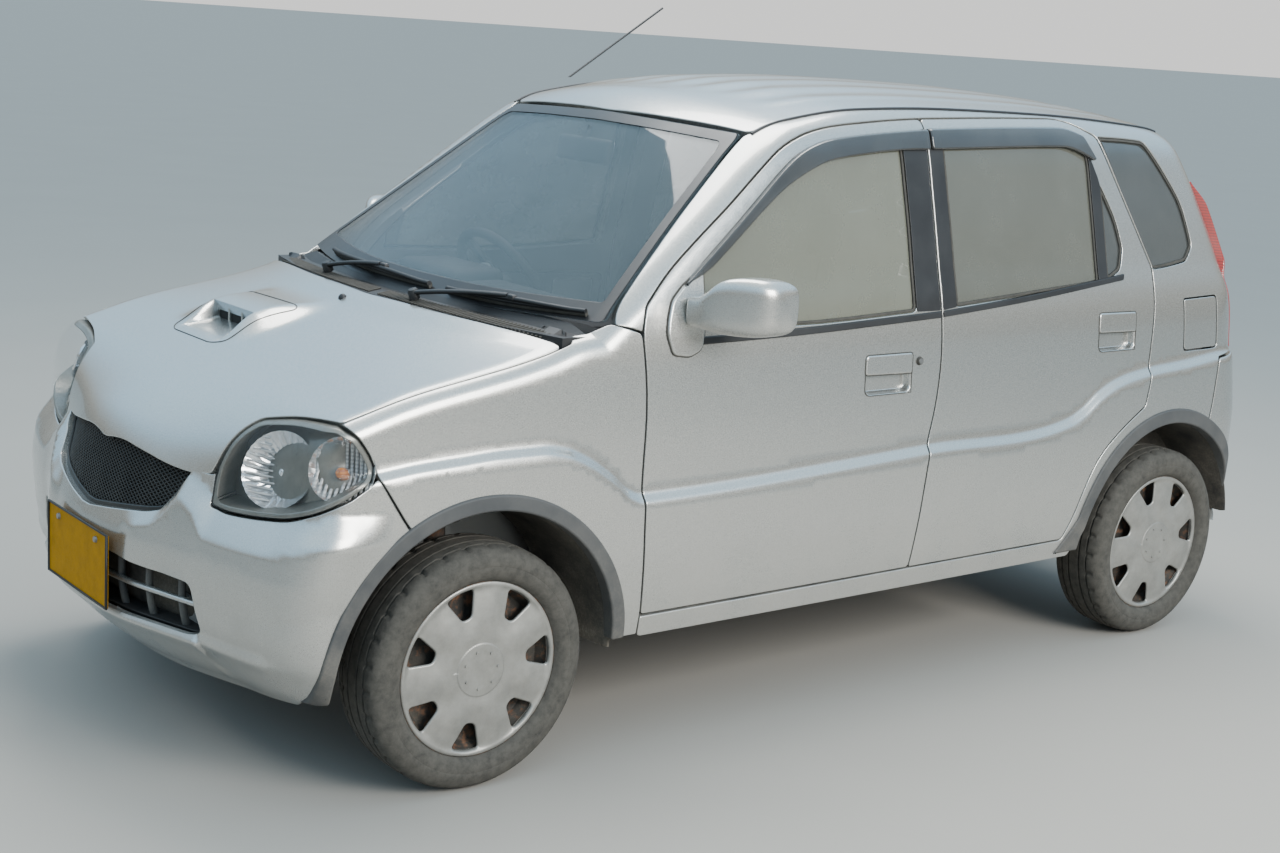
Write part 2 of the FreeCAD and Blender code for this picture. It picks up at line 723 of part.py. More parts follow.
def floor_pan():
    top = floor_low + floor_thickness
    front = box(kick_x, 712, -door_inner_y + 65, door_inner_y - 65, floor_low, top)
    sides = box(kick_x, 650, -door_inner_y, door_inner_y, sill_height - 30, sill_height)
    sides = sides.cut(box(kick_x - 1, 713, -door_inner_y + 62, door_inner_y - 62, 0, 400))
    kick = box(kick_x - 20, kick_x, -rear_well_inner_y, rear_well_inner_y, floor_low,
               rear_floor_z + 25)
    rear = box(-1580, kick_x, -rear_well_inner_y, rear_well_inner_y, rear_floor_z,
               rear_floor_z + 25)
    wings = box(-915, kick_x, -door_inner_y + 7, door_inner_y - 7, rear_floor_z,
                rear_floor_z + 25)
    tunnel = box(kick_x, 712, -tunnel_half, tunnel_half, top, top + tunnel_height)
    tunnel = tunnel.cut(box(kick_x - 1, 713, -tunnel_half + 8, tunnel_half - 8, 0,
                            top + tunnel_height - 8))
    front = front.cut(box(kick_x, 713, -tunnel_half + 8, tunnel_half - 8, 0, top + 1))
    web = box(kick_x, 650, door_inner_y - 75, door_inner_y - 62, floor_low, sill_height)
    shape = front.fuse(kick).fuse(rear).fuse(wings).fuse(tunnel).fuse(sides)
    shape = shape.fuse(web).fuse(mirrored(web))
    return shape.removeSplitter()


def bulkhead():
    wall = box(712, 726, -540, 540, floor_low, 905)
    return wall


def cowl():
    """Trough under the windscreen, level with the bonnet's rear edge."""
    gap = panel_gap
    outline = [(712, 0)] + [(976 - gap, 0), (952 - gap, 320), (918 - gap, 500),
                            (878 - gap, 660), (712, 660)]
    lid = prism_xy(outline, 955, belt_height)
    foot = clip(frame_upper, box(690, 1000, 0, 652, belt_height, 1004))
    wall = box(712, 726, 0, 640, 905, 955)
    front_wall = box(840, 850, 0, 640, 905, 955)
    base = box(712, 850, 0, 640, 905, 913)
    shape = lid.fuse(wall).fuse(front_wall).fuse(base).fuse(foot)
    shape = shape.cut(fender_left).cut(body_side_left)
    return shape.fuse(mirrored(shape)).removeSplitter()


def rear_panel():
    """Cross panel under the tailgate, with the seal that the tailgate closes on."""
    wall = box(-1610, -1580, -560, 560, rear_floor_z - 90, 640)
    wall = wall.fuse(box(-1612, -1580, -400, 400, 630, 710))
    seat = tailgate_depth + seat_clearance
    seal = lower_solid(seat, seat, seat, seat).cut(lower_solid(95, 95, 95, 95))
    seal = clip(seal, box(-half_length, -1500, -400, 400, 690, 710))
    return wall.fuse(seal).cut(rear_bumper_shell).removeSplitter()


def front_frame():
    """Rails, inner wings with strut towers and lower arms, as one welded front end."""
    pieces = []
    for side in (1, -1):
        low, high = sorted((side * (rail_y - rail_half), side * (rail_y + rail_half)))
        pieces.append(box(726, rail_end_x, low, high, rail_z - 40, rail_z + 40))
        low, high = sorted((side * 385, side * 393))
        pieces.append(box(726, 1480, low, high, 400, 850))
        low, high = sorted((side * (rail_y - 25), side * 393))
        pieces.append(box(726, 1480, low, high, 392, 400))
        low, high = sorted((side * 393, side * 590))
        pieces.append(box(1000, 1165, low, high, 792, 812))
    pieces.append(box(rail_end_x - 30, rail_end_x, -430, 430, rail_z - 30, rail_z + 40))
    pieces.append(box(1000, 1165, -305, 305, 300, 330))
    shape = pieces[0]
    for piece in pieces[1:]:
        shape = shape.fuse(piece)
    for side in (1, -1):
        low, high = sorted((side * 280, side * 560))
        arm = box(front_axle_x - 25, front_axle_x + 25, low, high, 168, 196)
        leg = box(front_axle_x - 25, front_axle_x + 25, *sorted((side * 280, side * 305)),
                  168, 302)
        boss = cylinder(24, Vector(front_axle_x, side * kingpin_low_y, 150),
                        Vector(front_axle_x, side * kingpin_low_y, 172))
        link = box(front_axle_x - 25, front_axle_x + 25, *sorted((side * 540, side * 600)),
                   150, 172)
        shape = shape.fuse(arm).fuse(leg).fuse(boss).fuse(link)
    shape = shape.cut(bonnet_cutter(bonnet_depth + panel_gap + 1))
    for side in (1, -1):
        low, high = sorted((side * 380, side * 398))
        pad = box(1240, 1260, low, high, 780, 900)
        shape = shape.fuse(pad.cut(bonnet_cutter(bonnet_depth + seat_clearance)))
    return shape


def kingpin_point(side, z):
    share = (z - kingpin_low_z) / (kingpin_high_z - kingpin_low_z)
    y = kingpin_low_y + (kingpin_high_y - kingpin_low_y) * share
    return Vector(front_axle_x, side * y, z)


def pin_bores(shape):
    for side in (1, -1):
        radius = kingpin_pin_radius + running_clearance
        shape = shape.cut(cylinder(radius, kingpin_point(side, 140), kingpin_point(side, 176)))
        shape = shape.cut(cylinder(radius, kingpin_point(side, 780), kingpin_point(side, 820)))
    return shape


front_frame_shape = pin_bores(front_frame()).removeSplitter()
front_frame_shape = front_frame_shape.cut(cylinder(
    tow_bore_radius, Vector(rail_end_x - tow_bore_depth, -rail_y, rail_z),
    Vector(rail_end_x + 10, -rail_y, rail_z)))
wheel_y = track / 2
wheel_z = tyre_radius


def knuckle(side):
    """Hub carrier with its spindle, stub pins and strut, turned by the steering."""
    hub_face = wheel_y - 22
    spindle = cylinder(spindle_radius, Vector(front_axle_x, side * 560, wheel_z),
                       Vector(front_axle_x, side * (wheel_y + 40), wheel_z))
    carrier = box(front_axle_x - 30, front_axle_x + 30,
                  *sorted((side * 560, side * (hub_face - 6))), 205, 400)
    foot = cylinder(22, kingpin_point(side, 183), kingpin_point(side, 215))
    low_pin = cylinder(kingpin_pin_radius, kingpin_point(side, 152), kingpin_point(side, 190))
    bracket = box(front_axle_x - 26, front_axle_x + 26, *sorted((side * 485, side * 575)),
                  355, 400)
    strut = cylinder(24, Vector(front_axle_x, side * 512, 390), kingpin_point(side, 775))
    spring = tube(56, 46, Vector(front_axle_x, side * 505, 572), kingpin_point(side, 768))
    seat = cylinder(60, Vector(front_axle_x, side * 505, 566),
                    Vector(front_axle_x, side * 505, 574))
    cap = cylinder(58, kingpin_point(side, 764), kingpin_point(side, 782))
    top_pin = cylinder(kingpin_pin_radius, kingpin_point(side, 775), kingpin_point(side, 808))
    shape = carrier.fuse(spindle).fuse(foot).fuse(low_pin).fuse(bracket).fuse(strut)
    return shape.fuse(spring).fuse(seat).fuse(cap).fuse(top_pin).removeSplitter()


def tyre(x, side):
    """Tyre as a turned solid, with rounded shoulders."""
    half = tyre_width / 2
    profile = [
        (bead_radius, 58), (cap_radius + 1, cap_offset - 2), (228, half - 2), (243, half),
        (262, half - 5), (tyre_radius - 2.5, half - 14), (tyre_radius, half - 24),
    ]
    ring = profile + [(r, -y) for r, y in reversed(profile)]
    points = [Vector(0, y, r) for r, y in ring]
    face = Part.Face(Part.makePolygon(points + points[:1]))
    solid = face.revolve(Vector(0, 0, 0), Vector(0, 1, 0), 360)
    solid.translate(Vector(x, side * wheel_y, wheel_z))
    return solid


def wheel(x, side, bore_depth):
    """Steel wheel with the wide cover that hides its rim."""
    barrel = [
        (bead_radius, 58), (bead_radius, -58), (bead_radius - rim_wall, -58),
        (bead_radius - rim_wall - 14, -20), (bead_radius - rim_wall - 14, 30),
        (bead_radius - rim_wall, 50), (bead_radius - rim_wall, 58),
    ]
    points = [Vector(0, y, r) for r, y in barrel]
    rim = Part.Face(Part.makePolygon(points + points[:1]))
    rim = rim.revolve(Vector(0, 0, 0), Vector(0, 1, 0), 360)
    lip = tube(bead_radius - 2, bead_radius - rim_wall, Vector(0, 57, 0),
               Vector(0, cap_offset, 0))
    cap = cylinder(cap_radius, Vector(0, cap_offset, 0),
                   Vector(0, cap_offset + cap_thickness, 0))
    for i in range(spoke_count):
        middle = math.radians(90 + 360 / spoke_count * (i + 0.5))
        half_angle = math.radians(window_half_angle)
        corners = []
        for radius, share in ((window_inner_radius, -0.75), (window_outer_radius, -1.0),
                              (window_outer_radius, 1.0), (window_inner_radius, 0.75)):
            angle = middle + half_angle * share
            corners.append(Vector(radius * math.cos(angle), cap_offset - 5,
                                  radius * math.sin(angle)))
        face = Part.Face(Part.makePolygon(corners + corners[:1]))
        cap = cap.cut(face.extrude(Vector(0, cap_thickness + 10, 0)))
    disc = cylinder(bead_radius - rim_wall - 10, Vector(0, 8, 0), Vector(0, 18, 0))
    hub = cylinder(hub_radius, Vector(0, -16, 0), Vector(0, cap_offset + 2, 0))
    shape = rim.fuse(lip).fuse(cap).fuse(disc).fuse(hub)
    shape = shape.cut(cylinder(spindle_radius + running_clearance, Vector(0, -30, 0),
                               Vector(0, bore_depth, 0)))
    if side < 0:
        shape = mirrored(shape)
    shape.translate(Vector(x, side * wheel_y, wheel_z))
    return shape.removeSplitter()


def rear_axle():
    """Beam between the rear wheels with its trailing arms, springs and spindles."""
    beam = cylinder(32, Vector(rear_axle_x, -540, wheel_z), Vector(rear_axle_x, 540, wheel_z))
    shape = beam
    for side in (1, -1):
        spindle = cylinder(spindle_radius, Vector(rear_axle_x, side * 530, wheel_z),
                           Vector(rear_axle_x, side * (wheel_y + 40), wheel_z))
        plate = cylinder(58, Vector(rear_axle_x, side * 540, wheel_z),
                         Vector(rear_axle_x, side * (wheel_y - 24), wheel_z))
        arm = box(rear_axle_x, -820, *sorted((side * 400, side * 440)), 255, 300)
        bracket = box(-860, -820, *sorted((side * 400, side * 440)), 300, rear_floor_z)
        spring = tube(50, 42, Vector(rear_axle_x, side * 470, 300),
                      Vector(rear_axle_x, side * 470, rear_floor_z))
        shape = shape.fuse(spindle).fuse(plate).fuse(arm).fuse(bracket).fuse(spring)
    return shape.removeSplitter()


def engine_block():
    block = box(800, 1330, -270, 250, 335, 780)
    mounts = box(900, 960, -305, 305, 340, 390)
    return block.fuse(mounts).removeSplitter()


def exhaust():
    y = 290.0
    radius = 20.0
    shape = box(-1540, -1420, 120, 420, 262, 392)
    shape = shape.fuse(cylinder(radius, Vector(-1530, y, 300), Vector(-1660, y, 265)))
    route = [Vector(-1425, y, 352), Vector(-1130, y, 352), Vector(-930, y, 250),
             Vector(-560, y, 202), Vector(780, 60, 202), Vector(830, 60, 336)]
    for start, end in zip(route, route[1:]):
        shape = shape.fuse(cylinder(radius, start, end))
    for point in route[1:-1]:
        shape = shape.fuse(Part.makeSphere(radius, point))
    return shape.cut(engine_block()).removeSplitter()


wheel_side_y = -300.0
column_radius = 18.0
column_tilt = 60.0
hand_wheel_radius = 180.0
hand_wheel_centre = Vector(370, wheel_side_y, 930)


def column_point(along):
    """Point on the steering column, measured from the wheel's middle to the driver."""
    lean = math.radians(column_tilt)
    return hand_wheel_centre + Vector(-math.sin(lean), 0, math.cos(lean)) * along


def dashboard():
    outline = [(480, 700), (470, 860), (520, 955), (712, 975), (712, 520), (620, 520)]
    shape = prism_xz(outline, -540, 540)
    shroud = cylinder(column_radius + 22, column_point(-45), column_point(-170))
    bore = cylinder(column_radius + running_clearance, column_point(0), column_point(-160))
    return shape.fuse(shroud).cut(bore).removeSplitter()


def steering_wheel():
    """Rim, spokes and column of the steering wheel, leaning back to the driver."""
    radius = hand_wheel_radius
    rim = Part.makeTorus(radius, 14.0)
    hub = Part.makeCylinder(48, 40, Vector(0, 0, -30))
    shape = rim.fuse(hub)
    for angle in (90, 210, 330):
        spoke = box(0, radius, -16, 16, -8, 6)
        spoke.rotate(Vector(0, 0, 0), Vector(0, 0, 1), angle)
        shape = shape.fuse(spoke)
    shape = shape.fuse(Part.makeCylinder(column_radius, 130, Vector(0, 0, -155)))
    shape.rotate(Vector(0, 0, 0), Vector(0, 1, 0), -column_tilt)
    shape.translate(hand_wheel_centre)
    return shape.removeSplitter()


def front_seat(side):
    y0, y1 = sorted((side * 90, side * 530))
    cushion = prism_xz([(-170, 400), (-150, 540), (310, 570), (350, 480), (330, 420)], y0, y1)
    back = prism_xz([(-150, 500), (-190, 420), (-330, 1020), (-230, 1040), (-60, 545)],
                    y0 + 15, y1 - 15)
    head = prism_xz([(-330, 1055), (-345, 1200), (-270, 1215), (-240, 1060)],
                    side * 310 - 120, side * 310 + 120)
    stalk = box(-300, -285, side * 310 - 60, side * 310 + 60, 1010, 1070)
    base = box(-150, 300, y0 + 40, y1 - 40, floor_low + floor_thickness, 425)
    return cushion.fuse(back).fuse(head).fuse(stalk).fuse(base).removeSplitter()


def rear_bench():
    top = rear_floor_z + 25
    cushion = prism_xz([(-980, top), (-980, 560), (-540, 580), (-505, 520), (-515, top)],
                       -525, 525)
    back = prism_xz([(-1010, 560), (-1040, 1010), (-1120, 1000), (-1085, top), (-975, top)],
                    -525, 525)
    heads = box(-1125, -1055, 190, 390, 1000, 1130)
    return cushion.fuse(back).fuse(heads).fuse(mirrored(heads)).removeSplitter()


plate_width = 330.0
plate_height = 165.0
plate_z = 424.5
plate_thickness = 4.0
plate_bolt_spacing = 210.0
plate_bolt_radius = 3.5
plate_bolt_z = plate_z + 60.0


def front_plate():
    x1 = half_length
    plate = box(x1 - plate_thickness, x1, -plate_width / 2, plate_width / 2,
                plate_z - plate_height / 2, plate_z + plate_height / 2)
    backing = box(x1 - 40, x1 - plate_thickness, -60, 60, plate_z - 30, plate_z + 30)
    return plate.fuse(backing.cut(outer_lower)).removeSplitter()


def bolt_holes(shape):
    for side in (1, -1):
        y = side * plate_bolt_spacing / 2
        hole = cylinder(plate_bolt_radius, Vector(half_length - 60, y, plate_bolt_z),
                        Vector(half_length + 10, y, plate_bolt_z))
        shape = shape.cut(hole)
    return shape


def fuel_tank():
    return box(-880, -520, -380, 230, 232, rear_floor_z)


def antenna():
    rod = cylinder(3.0, Vector(118, -497, 1457), Vector(-270, -497, 1709))
    above = rod.cut(roof_panel).Solids
    return max(above, key=lambda piece: piece.Volume)


floor_shape = floor_pan()
cowl_shape = cowl()
windscreen = windscreen.cut(cowl_shape)
nodes = {
    "body_side_left": body_side_left,
    "body_side_right": body_side_right,
    "roof_panel": roof_panel,
    "floor_pan": floor_shape,
    "bulkhead": bulkhead(),
    "cowl": cowl_shape,
    "rear_panel": rear_panel(),
    "front_fenders": Part.makeCompound([fender_left, mirrored(fender_left)]),
    "front_bumper": bolt_holes(front_bumper_shell),
    "rear_bumper": rear_bumper_shell,
    "front_grilles": grille_panel,
    "headlamps": Part.makeCompound([headlamp_left, mirrored(headlamp_left)]),
    "tail_lamps": Part.makeCompound([tail_lamp_left, mirrored(tail_lamp_left)]),
    "windscreen": windscreen,
    "quarter_glass": Part.makeCompound([quarter_glass_left, mirrored(quarter_glass_left)]),
    "arch_trims": trims,
    "front_frame": front_frame_shape,
    "rear_axle": rear_axle(),
    "engine_block": engine_block(),
    "fuel_tank": fuel_tank(),
    "exhaust": exhaust(),
    "dashboard": dashboard(),
    "front_seats": Part.makeCompound([front_seat(1), front_seat(-1)]),
    "rear_bench": rear_bench(),
    "front_plate": bolt_holes(front_plate()),
    "antenna": antenna(),
    "bonnet": bonnet_panel,
    "tailgate": tailgate_panel,
    "tailgate_glass": tailgate_glass,
    "fuel_lid": fuel_lid,
    "steering_wheel": steering_wheel(),
    "front_door_left": front_door_left.fuse(mirror_left),
    "front_glass_left": front_glass_left.cut(front_door_left),
    "rear_door_left": rear_door_left,
    "rear_glass_left": rear_glass_left.cut(rear_door_left),
    "knuckle_left": knuckle(1),
    "knuckle_right": knuckle(-1),
}
for name in ("front_door", "front_glass", "rear_door", "rear_glass"):
    nodes[name + "_right"] = mirrored(nodes[name + "_left"])
for axle, x, depth in (("front", front_axle_x, 42), ("rear", rear_axle_x, 42)):
    for name, side in (("left", 1), ("right", -1)):
        nodes["tyre_%s_%s" % (axle, name)] = tyre(x, side)
        nodes["wheel_%s_%s" % (axle, name)] = wheel(x, side, depth)

for name, shape in nodes.items():
    shape.exportStep("parts/%s.step" % name)
    bounds = shape.BoundBox
    print("%-18s solids %d  x %.0f..%.0f  y %.0f..%.0f  z %.0f..%.0f" % (
        name, len(shape.Solids), bounds.XMin, bounds.XMax, bounds.YMin, bounds.YMax,
        bounds.ZMin, bounds.ZMax))
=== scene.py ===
import math
import bpy
import bmesh
import numpy as np
from mathutils import Matrix, Vector
from mathutils.geometry import delaunay_2d_cdt


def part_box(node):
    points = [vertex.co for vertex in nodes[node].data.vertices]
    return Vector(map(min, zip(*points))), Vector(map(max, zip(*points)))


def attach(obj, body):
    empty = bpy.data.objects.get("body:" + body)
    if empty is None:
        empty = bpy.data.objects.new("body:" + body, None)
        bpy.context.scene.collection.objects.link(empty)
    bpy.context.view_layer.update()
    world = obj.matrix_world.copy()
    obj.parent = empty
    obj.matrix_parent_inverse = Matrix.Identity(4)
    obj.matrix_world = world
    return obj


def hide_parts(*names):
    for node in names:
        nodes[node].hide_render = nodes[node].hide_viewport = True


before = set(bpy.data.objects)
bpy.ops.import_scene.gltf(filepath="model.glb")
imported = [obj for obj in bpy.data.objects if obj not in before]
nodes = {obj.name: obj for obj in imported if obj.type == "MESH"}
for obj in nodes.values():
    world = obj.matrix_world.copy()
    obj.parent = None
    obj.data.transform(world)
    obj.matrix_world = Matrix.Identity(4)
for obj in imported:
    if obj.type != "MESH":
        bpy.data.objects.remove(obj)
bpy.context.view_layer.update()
print("stage: frame loaded,", len(nodes), "nodes")

# Camera: solved from the photograph, metres and degrees
camera = {
    "place": (3.2691, 3.9204, 1.6768),
    "yaw": -128.8786,
    "down": 12.2240,
    "roll": 3.9229,
    "lens": 52.93,
    "sensor": 36.0,
}


def addCamera(values):
    yaw = math.radians(values["yaw"])
    down = math.radians(values["down"])
    roll = math.radians(values["roll"])
    ahead = Vector((math.cos(yaw) * math.cos(down), math.sin(yaw) * math.cos(down),
                    -math.sin(down)))
    level = Vector((math.sin(yaw), -math.cos(yaw), 0))
    upright = level.cross(ahead)
    right = level * math.cos(roll) + upright * math.sin(roll)
    up = upright * math.cos(roll) - level * math.sin(roll)
    turn = Matrix((right, up, -ahead)).transposed()
    data = bpy.data.cameras.new("camera")
    data.lens = values["lens"]
    data.sensor_width = values["sensor"]
    data.clip_end = 200
    item = bpy.data.objects.new("camera", data)
    bpy.context.scene.collection.objects.link(item)
    item.matrix_world = Matrix.Translation(values["place"]) @ turn.to_4x4()
    bpy.context.scene.camera = item


addCamera(camera)


def setInputs(tree, node, values):
    # A socket is linked, and anything else becomes the input's own value
    for key, value in values.items():
        socket = node.inputs[key]
        if isinstance(value, bpy.types.NodeSocket):
            tree.links.new(value, socket)
        else:
            socket.default_value = value


def addNode(tree, kind, values=None, **settings):
    node = tree.nodes.new(kind)
    for key, value in settings.items():
        setattr(node, key, value)
    setInputs(tree, node, values or {})
    return node


def addRamp(tree, factor, stops):
    # stops: (position, colour or grey)
    node = tree.nodes.new("ShaderNodeValToRGB")
    tree.links.new(factor, node.inputs[0])
    elements = node.color_ramp.elements
    while len(elements) < len(stops):
        elements.new(0.5)
    for element, (place, colour) in zip(elements, stops):
        element.position = place
        if isinstance(colour, (int, float)):
            colour = (colour, colour, colour)
        element.color = (*colour[:3], 1)
    return node.outputs[0]


def mixColour(tree, factor, a, b, way="MIX"):
    node = tree.nodes.new("ShaderNodeMix")
    node.data_type = "RGBA"
    node.blend_type = way
    for socket, value in ((node.inputs[0], factor), (node.inputs[6], a), (node.inputs[7], b)):
        if isinstance(value, bpy.types.NodeSocket):
            tree.links.new(value, socket)
        elif isinstance(value, (int, float)):
            socket.default_value = value
        else:
            socket.default_value = (*value[:3], 1)
    return node.outputs[2]


def doMath(tree, way, a, b=0.0, clamp=False):
    node = tree.nodes.new("ShaderNodeMath")
    node.operation = way
    node.use_clamp = clamp
    for socket, value in ((node.inputs[0], a), (node.inputs[1], b)):
        if isinstance(value, bpy.types.NodeSocket):
            tree.links.new(value, socket)
        else:
            socket.default_value = value
    return node.outputs[0]


def mapRange(tree, value, low, high, toLow=0.0, toHigh=1.0):
    node = addNode(tree, "ShaderNodeMapRange", {
        "Value": value, "From Min": low, "From Max": high, "To Min": toLow, "To Max": toHigh})
    return node.outputs[0]


def newGroup(name, inputs, outputs):
    group = bpy.data.node_groups.new(name, "ShaderNodeTree")
    for label, value in inputs.items():
        socket = group.interface.new_socket(name=label, in_out="INPUT",
                                            socket_type="NodeSocketFloat")
        socket.default_value = value
    for label, kind in outputs.items():
        group.interface.new_socket(name=label, in_out="OUTPUT", socket_type=kind)
    inside = group.nodes.new("NodeGroupInput")
    outside = group.nodes.new("NodeGroupOutput")
    return group, inside.outputs, outside.inputs


def useGroup(tree, group, **values):
    node = tree.nodes.new("ShaderNodeGroup")
    node.node_tree = group
    setInputs(tree, node, values)
    return node.outputs


def makeRoadDust():
    # Dust and dried splashes that thicken towards the road
    group, given, out = newGroup(
        "road dust", {"Low": 0.1, "High": 0.5, "Amount": 1.0, "Scale": 6.0},
        {"Mask": "NodeSocketFloat", "Height": "NodeSocketFloat"})
    place = addNode(group, "ShaderNodeTexCoord").outputs["Object"]
    height = addNode(group, "ShaderNodeSeparateXYZ", {"Vector": place}).outputs["Z"]
    fall = mapRange(group, height, given["Low"], given["High"], 1.0, 0.0)
    broad = addNode(group, "ShaderNodeTexNoise", {
        "Vector": place, "Scale": given["Scale"], "Detail": 6.0, "Roughness": 0.62})
    fine = addNode(group, "ShaderNodeTexNoise", {
        "Vector": place, "Scale": doMath(group, "MULTIPLY", given["Scale"], 22.0),
        "Detail": 3.0, "Roughness": 0.7})
    body = doMath(group, "MULTIPLY", fall, mapRange(group, broad.outputs["Fac"], 0.3, 0.72))
    grit = mapRange(group, fine.outputs["Fac"], 0.45, 0.7, 0.55, 1.0)
    mask = doMath(group, "MULTIPLY", doMath(group, "MULTIPLY", body, grit), given["Amount"],
                  clamp=True)
    group.links.new(mask, out["Mask"])
    group.links.new(doMath(group, "MULTIPLY", mask, fine.outputs["Fac"]), out["Height"])
    return group


def makeGrain():
    # Leathery moulded grain with faint colour change
    group, given, out = newGroup(
        "moulded grain", {"Scale": 900.0, "Change": 0.5},
        {"Height": "NodeSocketFloat", "Tone": "NodeSocketFloat"})
    place = addNode(group, "ShaderNodeTexCoord").outputs["Object"]
    cells = addNode(group, "ShaderNodeTexVoronoi", {
        "Vector": place, "Scale": given["Scale"]}, feature="SMOOTH_F1")
    broad = addNode(group, "ShaderNodeTexNoise", {
        "Vector": place, "Scale": 9.0, "Detail": 5.0, "Roughness": 0.6})
    fine = addNode(group, "ShaderNodeTexNoise", {
        "Vector": place, "Scale": doMath(group, "MULTIPLY", given["Scale"], 0.5),
        "Detail": 2.0})
    height = doMath(group, "ADD", cells.outputs["Distance"],
                    doMath(group, "MULTIPLY", fine.outputs["Fac"], 0.6))
    tone = doMath(group, "MULTIPLY", mapRange(group, broad.outputs["Fac"], 0.3, 0.7),
                  given["Change"])
    group.links.new(height, out["Height"])
    group.links.new(tone, out["Tone"])
    return group


def makeFlake():
    # Metal flake: tiny cells that each catch the light a little differently
    group, given, out = newGroup(
        "metal flake", {"Scale": 1600.0, "Depth": 1.0},
        {"Tone": "NodeSocketFloat", "Height": "NodeSocketFloat", "Haze": "NodeSocketFloat"})
    place = addNode(group, "ShaderNodeTexCoord").outputs["Object"]
    cells = addNode(group, "ShaderNodeTexVoronoi", {"Vector": place, "Scale": given["Scale"]})
    tone = addNode(group, "ShaderNodeSeparateColor", {"Color": cells.outputs["Color"]})
    haze = addNode(group, "ShaderNodeTexNoise", {
        "Vector": place, "Scale": 2.2, "Detail": 4.0, "Roughness": 0.55})
    peel = addNode(group, "ShaderNodeTexNoise", {
        "Vector": place, "Scale": 260.0, "Detail": 1.0})
    height = doMath(group, "MULTIPLY", peel.outputs["Fac"], given["Depth"])
    group.links.new(tone.outputs[0], out["Tone"])
    group.links.new(height, out["Height"])
    group.links.new(haze.outputs["Fac"], out["Haze"])
    return group


def makeWeave():
    # Plain weave: two crossed waves, with fluff
    group, given, out = newGroup(
        "woven cloth", {"Scale": 500.0, "Fluff": 1.0},
        {"Height": "NodeSocketFloat", "Tone": "NodeSocketFloat"})
    place = addNode(group, "ShaderNodeTexCoord").outputs["Object"]
    warp = addNode(group, "ShaderNodeTexWave", {
        "Vector": place, "Scale": given["Scale"], "Distortion": 0.6, "Detail": 1.0,
        "Detail Scale": 2.0}, bands_direction="Y")
    weft = addNode(group, "ShaderNodeTexWave", {
        "Vector": place, "Scale": given["Scale"], "Distortion": 0.6, "Detail": 1.0,
        "Detail Scale": 2.0}, bands_direction="Z")
    fluff = addNode(group, "ShaderNodeTexNoise", {
        "Vector": place, "Scale": 240.0, "Detail": 4.0, "Roughness": 0.7})
    height = doMath(group, "ADD", doMath(group, "MULTIPLY", warp.outputs["Fac"],
                                         weft.outputs["Fac"]),
                    doMath(group, "MULTIPLY", fluff.outputs["Fac"], given["Fluff"]))
    group.links.new(height, out["Height"])
    group.links.new(fluff.outputs["Fac"], out["Tone"])
    return group


roadDust = makeRoadDust()
mouldedGrain = makeGrain()
metalFlake = makeFlake()
wovenCloth = makeWeave()
dustColour = (0.30, 0.26, 0.20)


def newMaterial(name, **sockets):
    material = bpy.data.materials.new(name)
    material.use_nodes = True
    tree = material.node_tree
    shader = tree.nodes["Principled BSDF"]
    for key, value in sockets.items():
        label = {"coat": "Coat Weight", "coatRoughness": "Coat Roughness", "metal": "Metallic",
                 "rough": "Roughness", "clear": "Transmission Weight", "ior": "IOR",
                 "colour": "Base Color", "alpha": "Alpha", "sheen": "Sheen Weight",
                 "specular": "Specular IOR Level"}[key]
        if label == "Base Color":
            value = (*value[:3], 1)
        shader.inputs[label].default_value = value
    return material, tree, shader


def addBump(tree, shader, height, distance, strength=1.0):
    bump = addNode(tree, "ShaderNodeBump", {
        "Height": height, "Distance": distance, "Strength": strength})
    tree.links.new(bump.outputs["Normal"], shader.inputs["Normal"])


# Body paint: silver metallic under clear coat
paint = {
    "silver": (0.63, 0.62, 0.59),
    "shade": (0.42, 0.415, 0.395),
    "metallic": 0.86,
    "roughness": 0.27,
    "dustHigh": 0.62,
    "dustAmount": 0.75,
}


def makePaint(name, values, dustAmount):
    material, tree, shader = newMaterial(name, metal=values["metallic"], coat=0.85,
                                         coatRoughness=0.07)
    flake = useGroup(tree, metalFlake, Scale=1500.0, Depth=1.0)
    dust = useGroup(tree, roadDust, Low=0.18, High=values["dustHigh"], Amount=dustAmount,
                    Scale=7.0)
    tone = mixColour(tree, flake["Tone"], values["shade"], values["silver"])
    tone = mixColour(tree, doMath(tree, "MULTIPLY", flake["Haze"], 0.22), tone,
                     (0.50, 0.50, 0.48))
    tone = mixColour(tree, dust["Mask"], tone, dustColour)
    tree.links.new(tone, shader.inputs["Base Color"])
    rough = mapRange(tree, flake["Tone"], 0.0, 1.0, values["roughness"] - 0.05,
                     values["roughness"] + 0.06)
    tree.links.new(doMath(tree, "ADD", rough, doMath(tree, "MULTIPLY", dust["Mask"], 0.45)),
                   shader.inputs["Roughness"])
    tree.links.new(mapRange(tree, dust["Mask"], 0.0, 1.0, 0.85, 0.1),
                   shader.inputs["Coat Weight"])
    tree.links.new(mapRange(tree, dust["Mask"], 0.0, 1.0, values["metallic"], 0.05),
                   shader.inputs["Metallic"])
    addBump(tree, shader, flake["Height"], 0.00003)
    return material


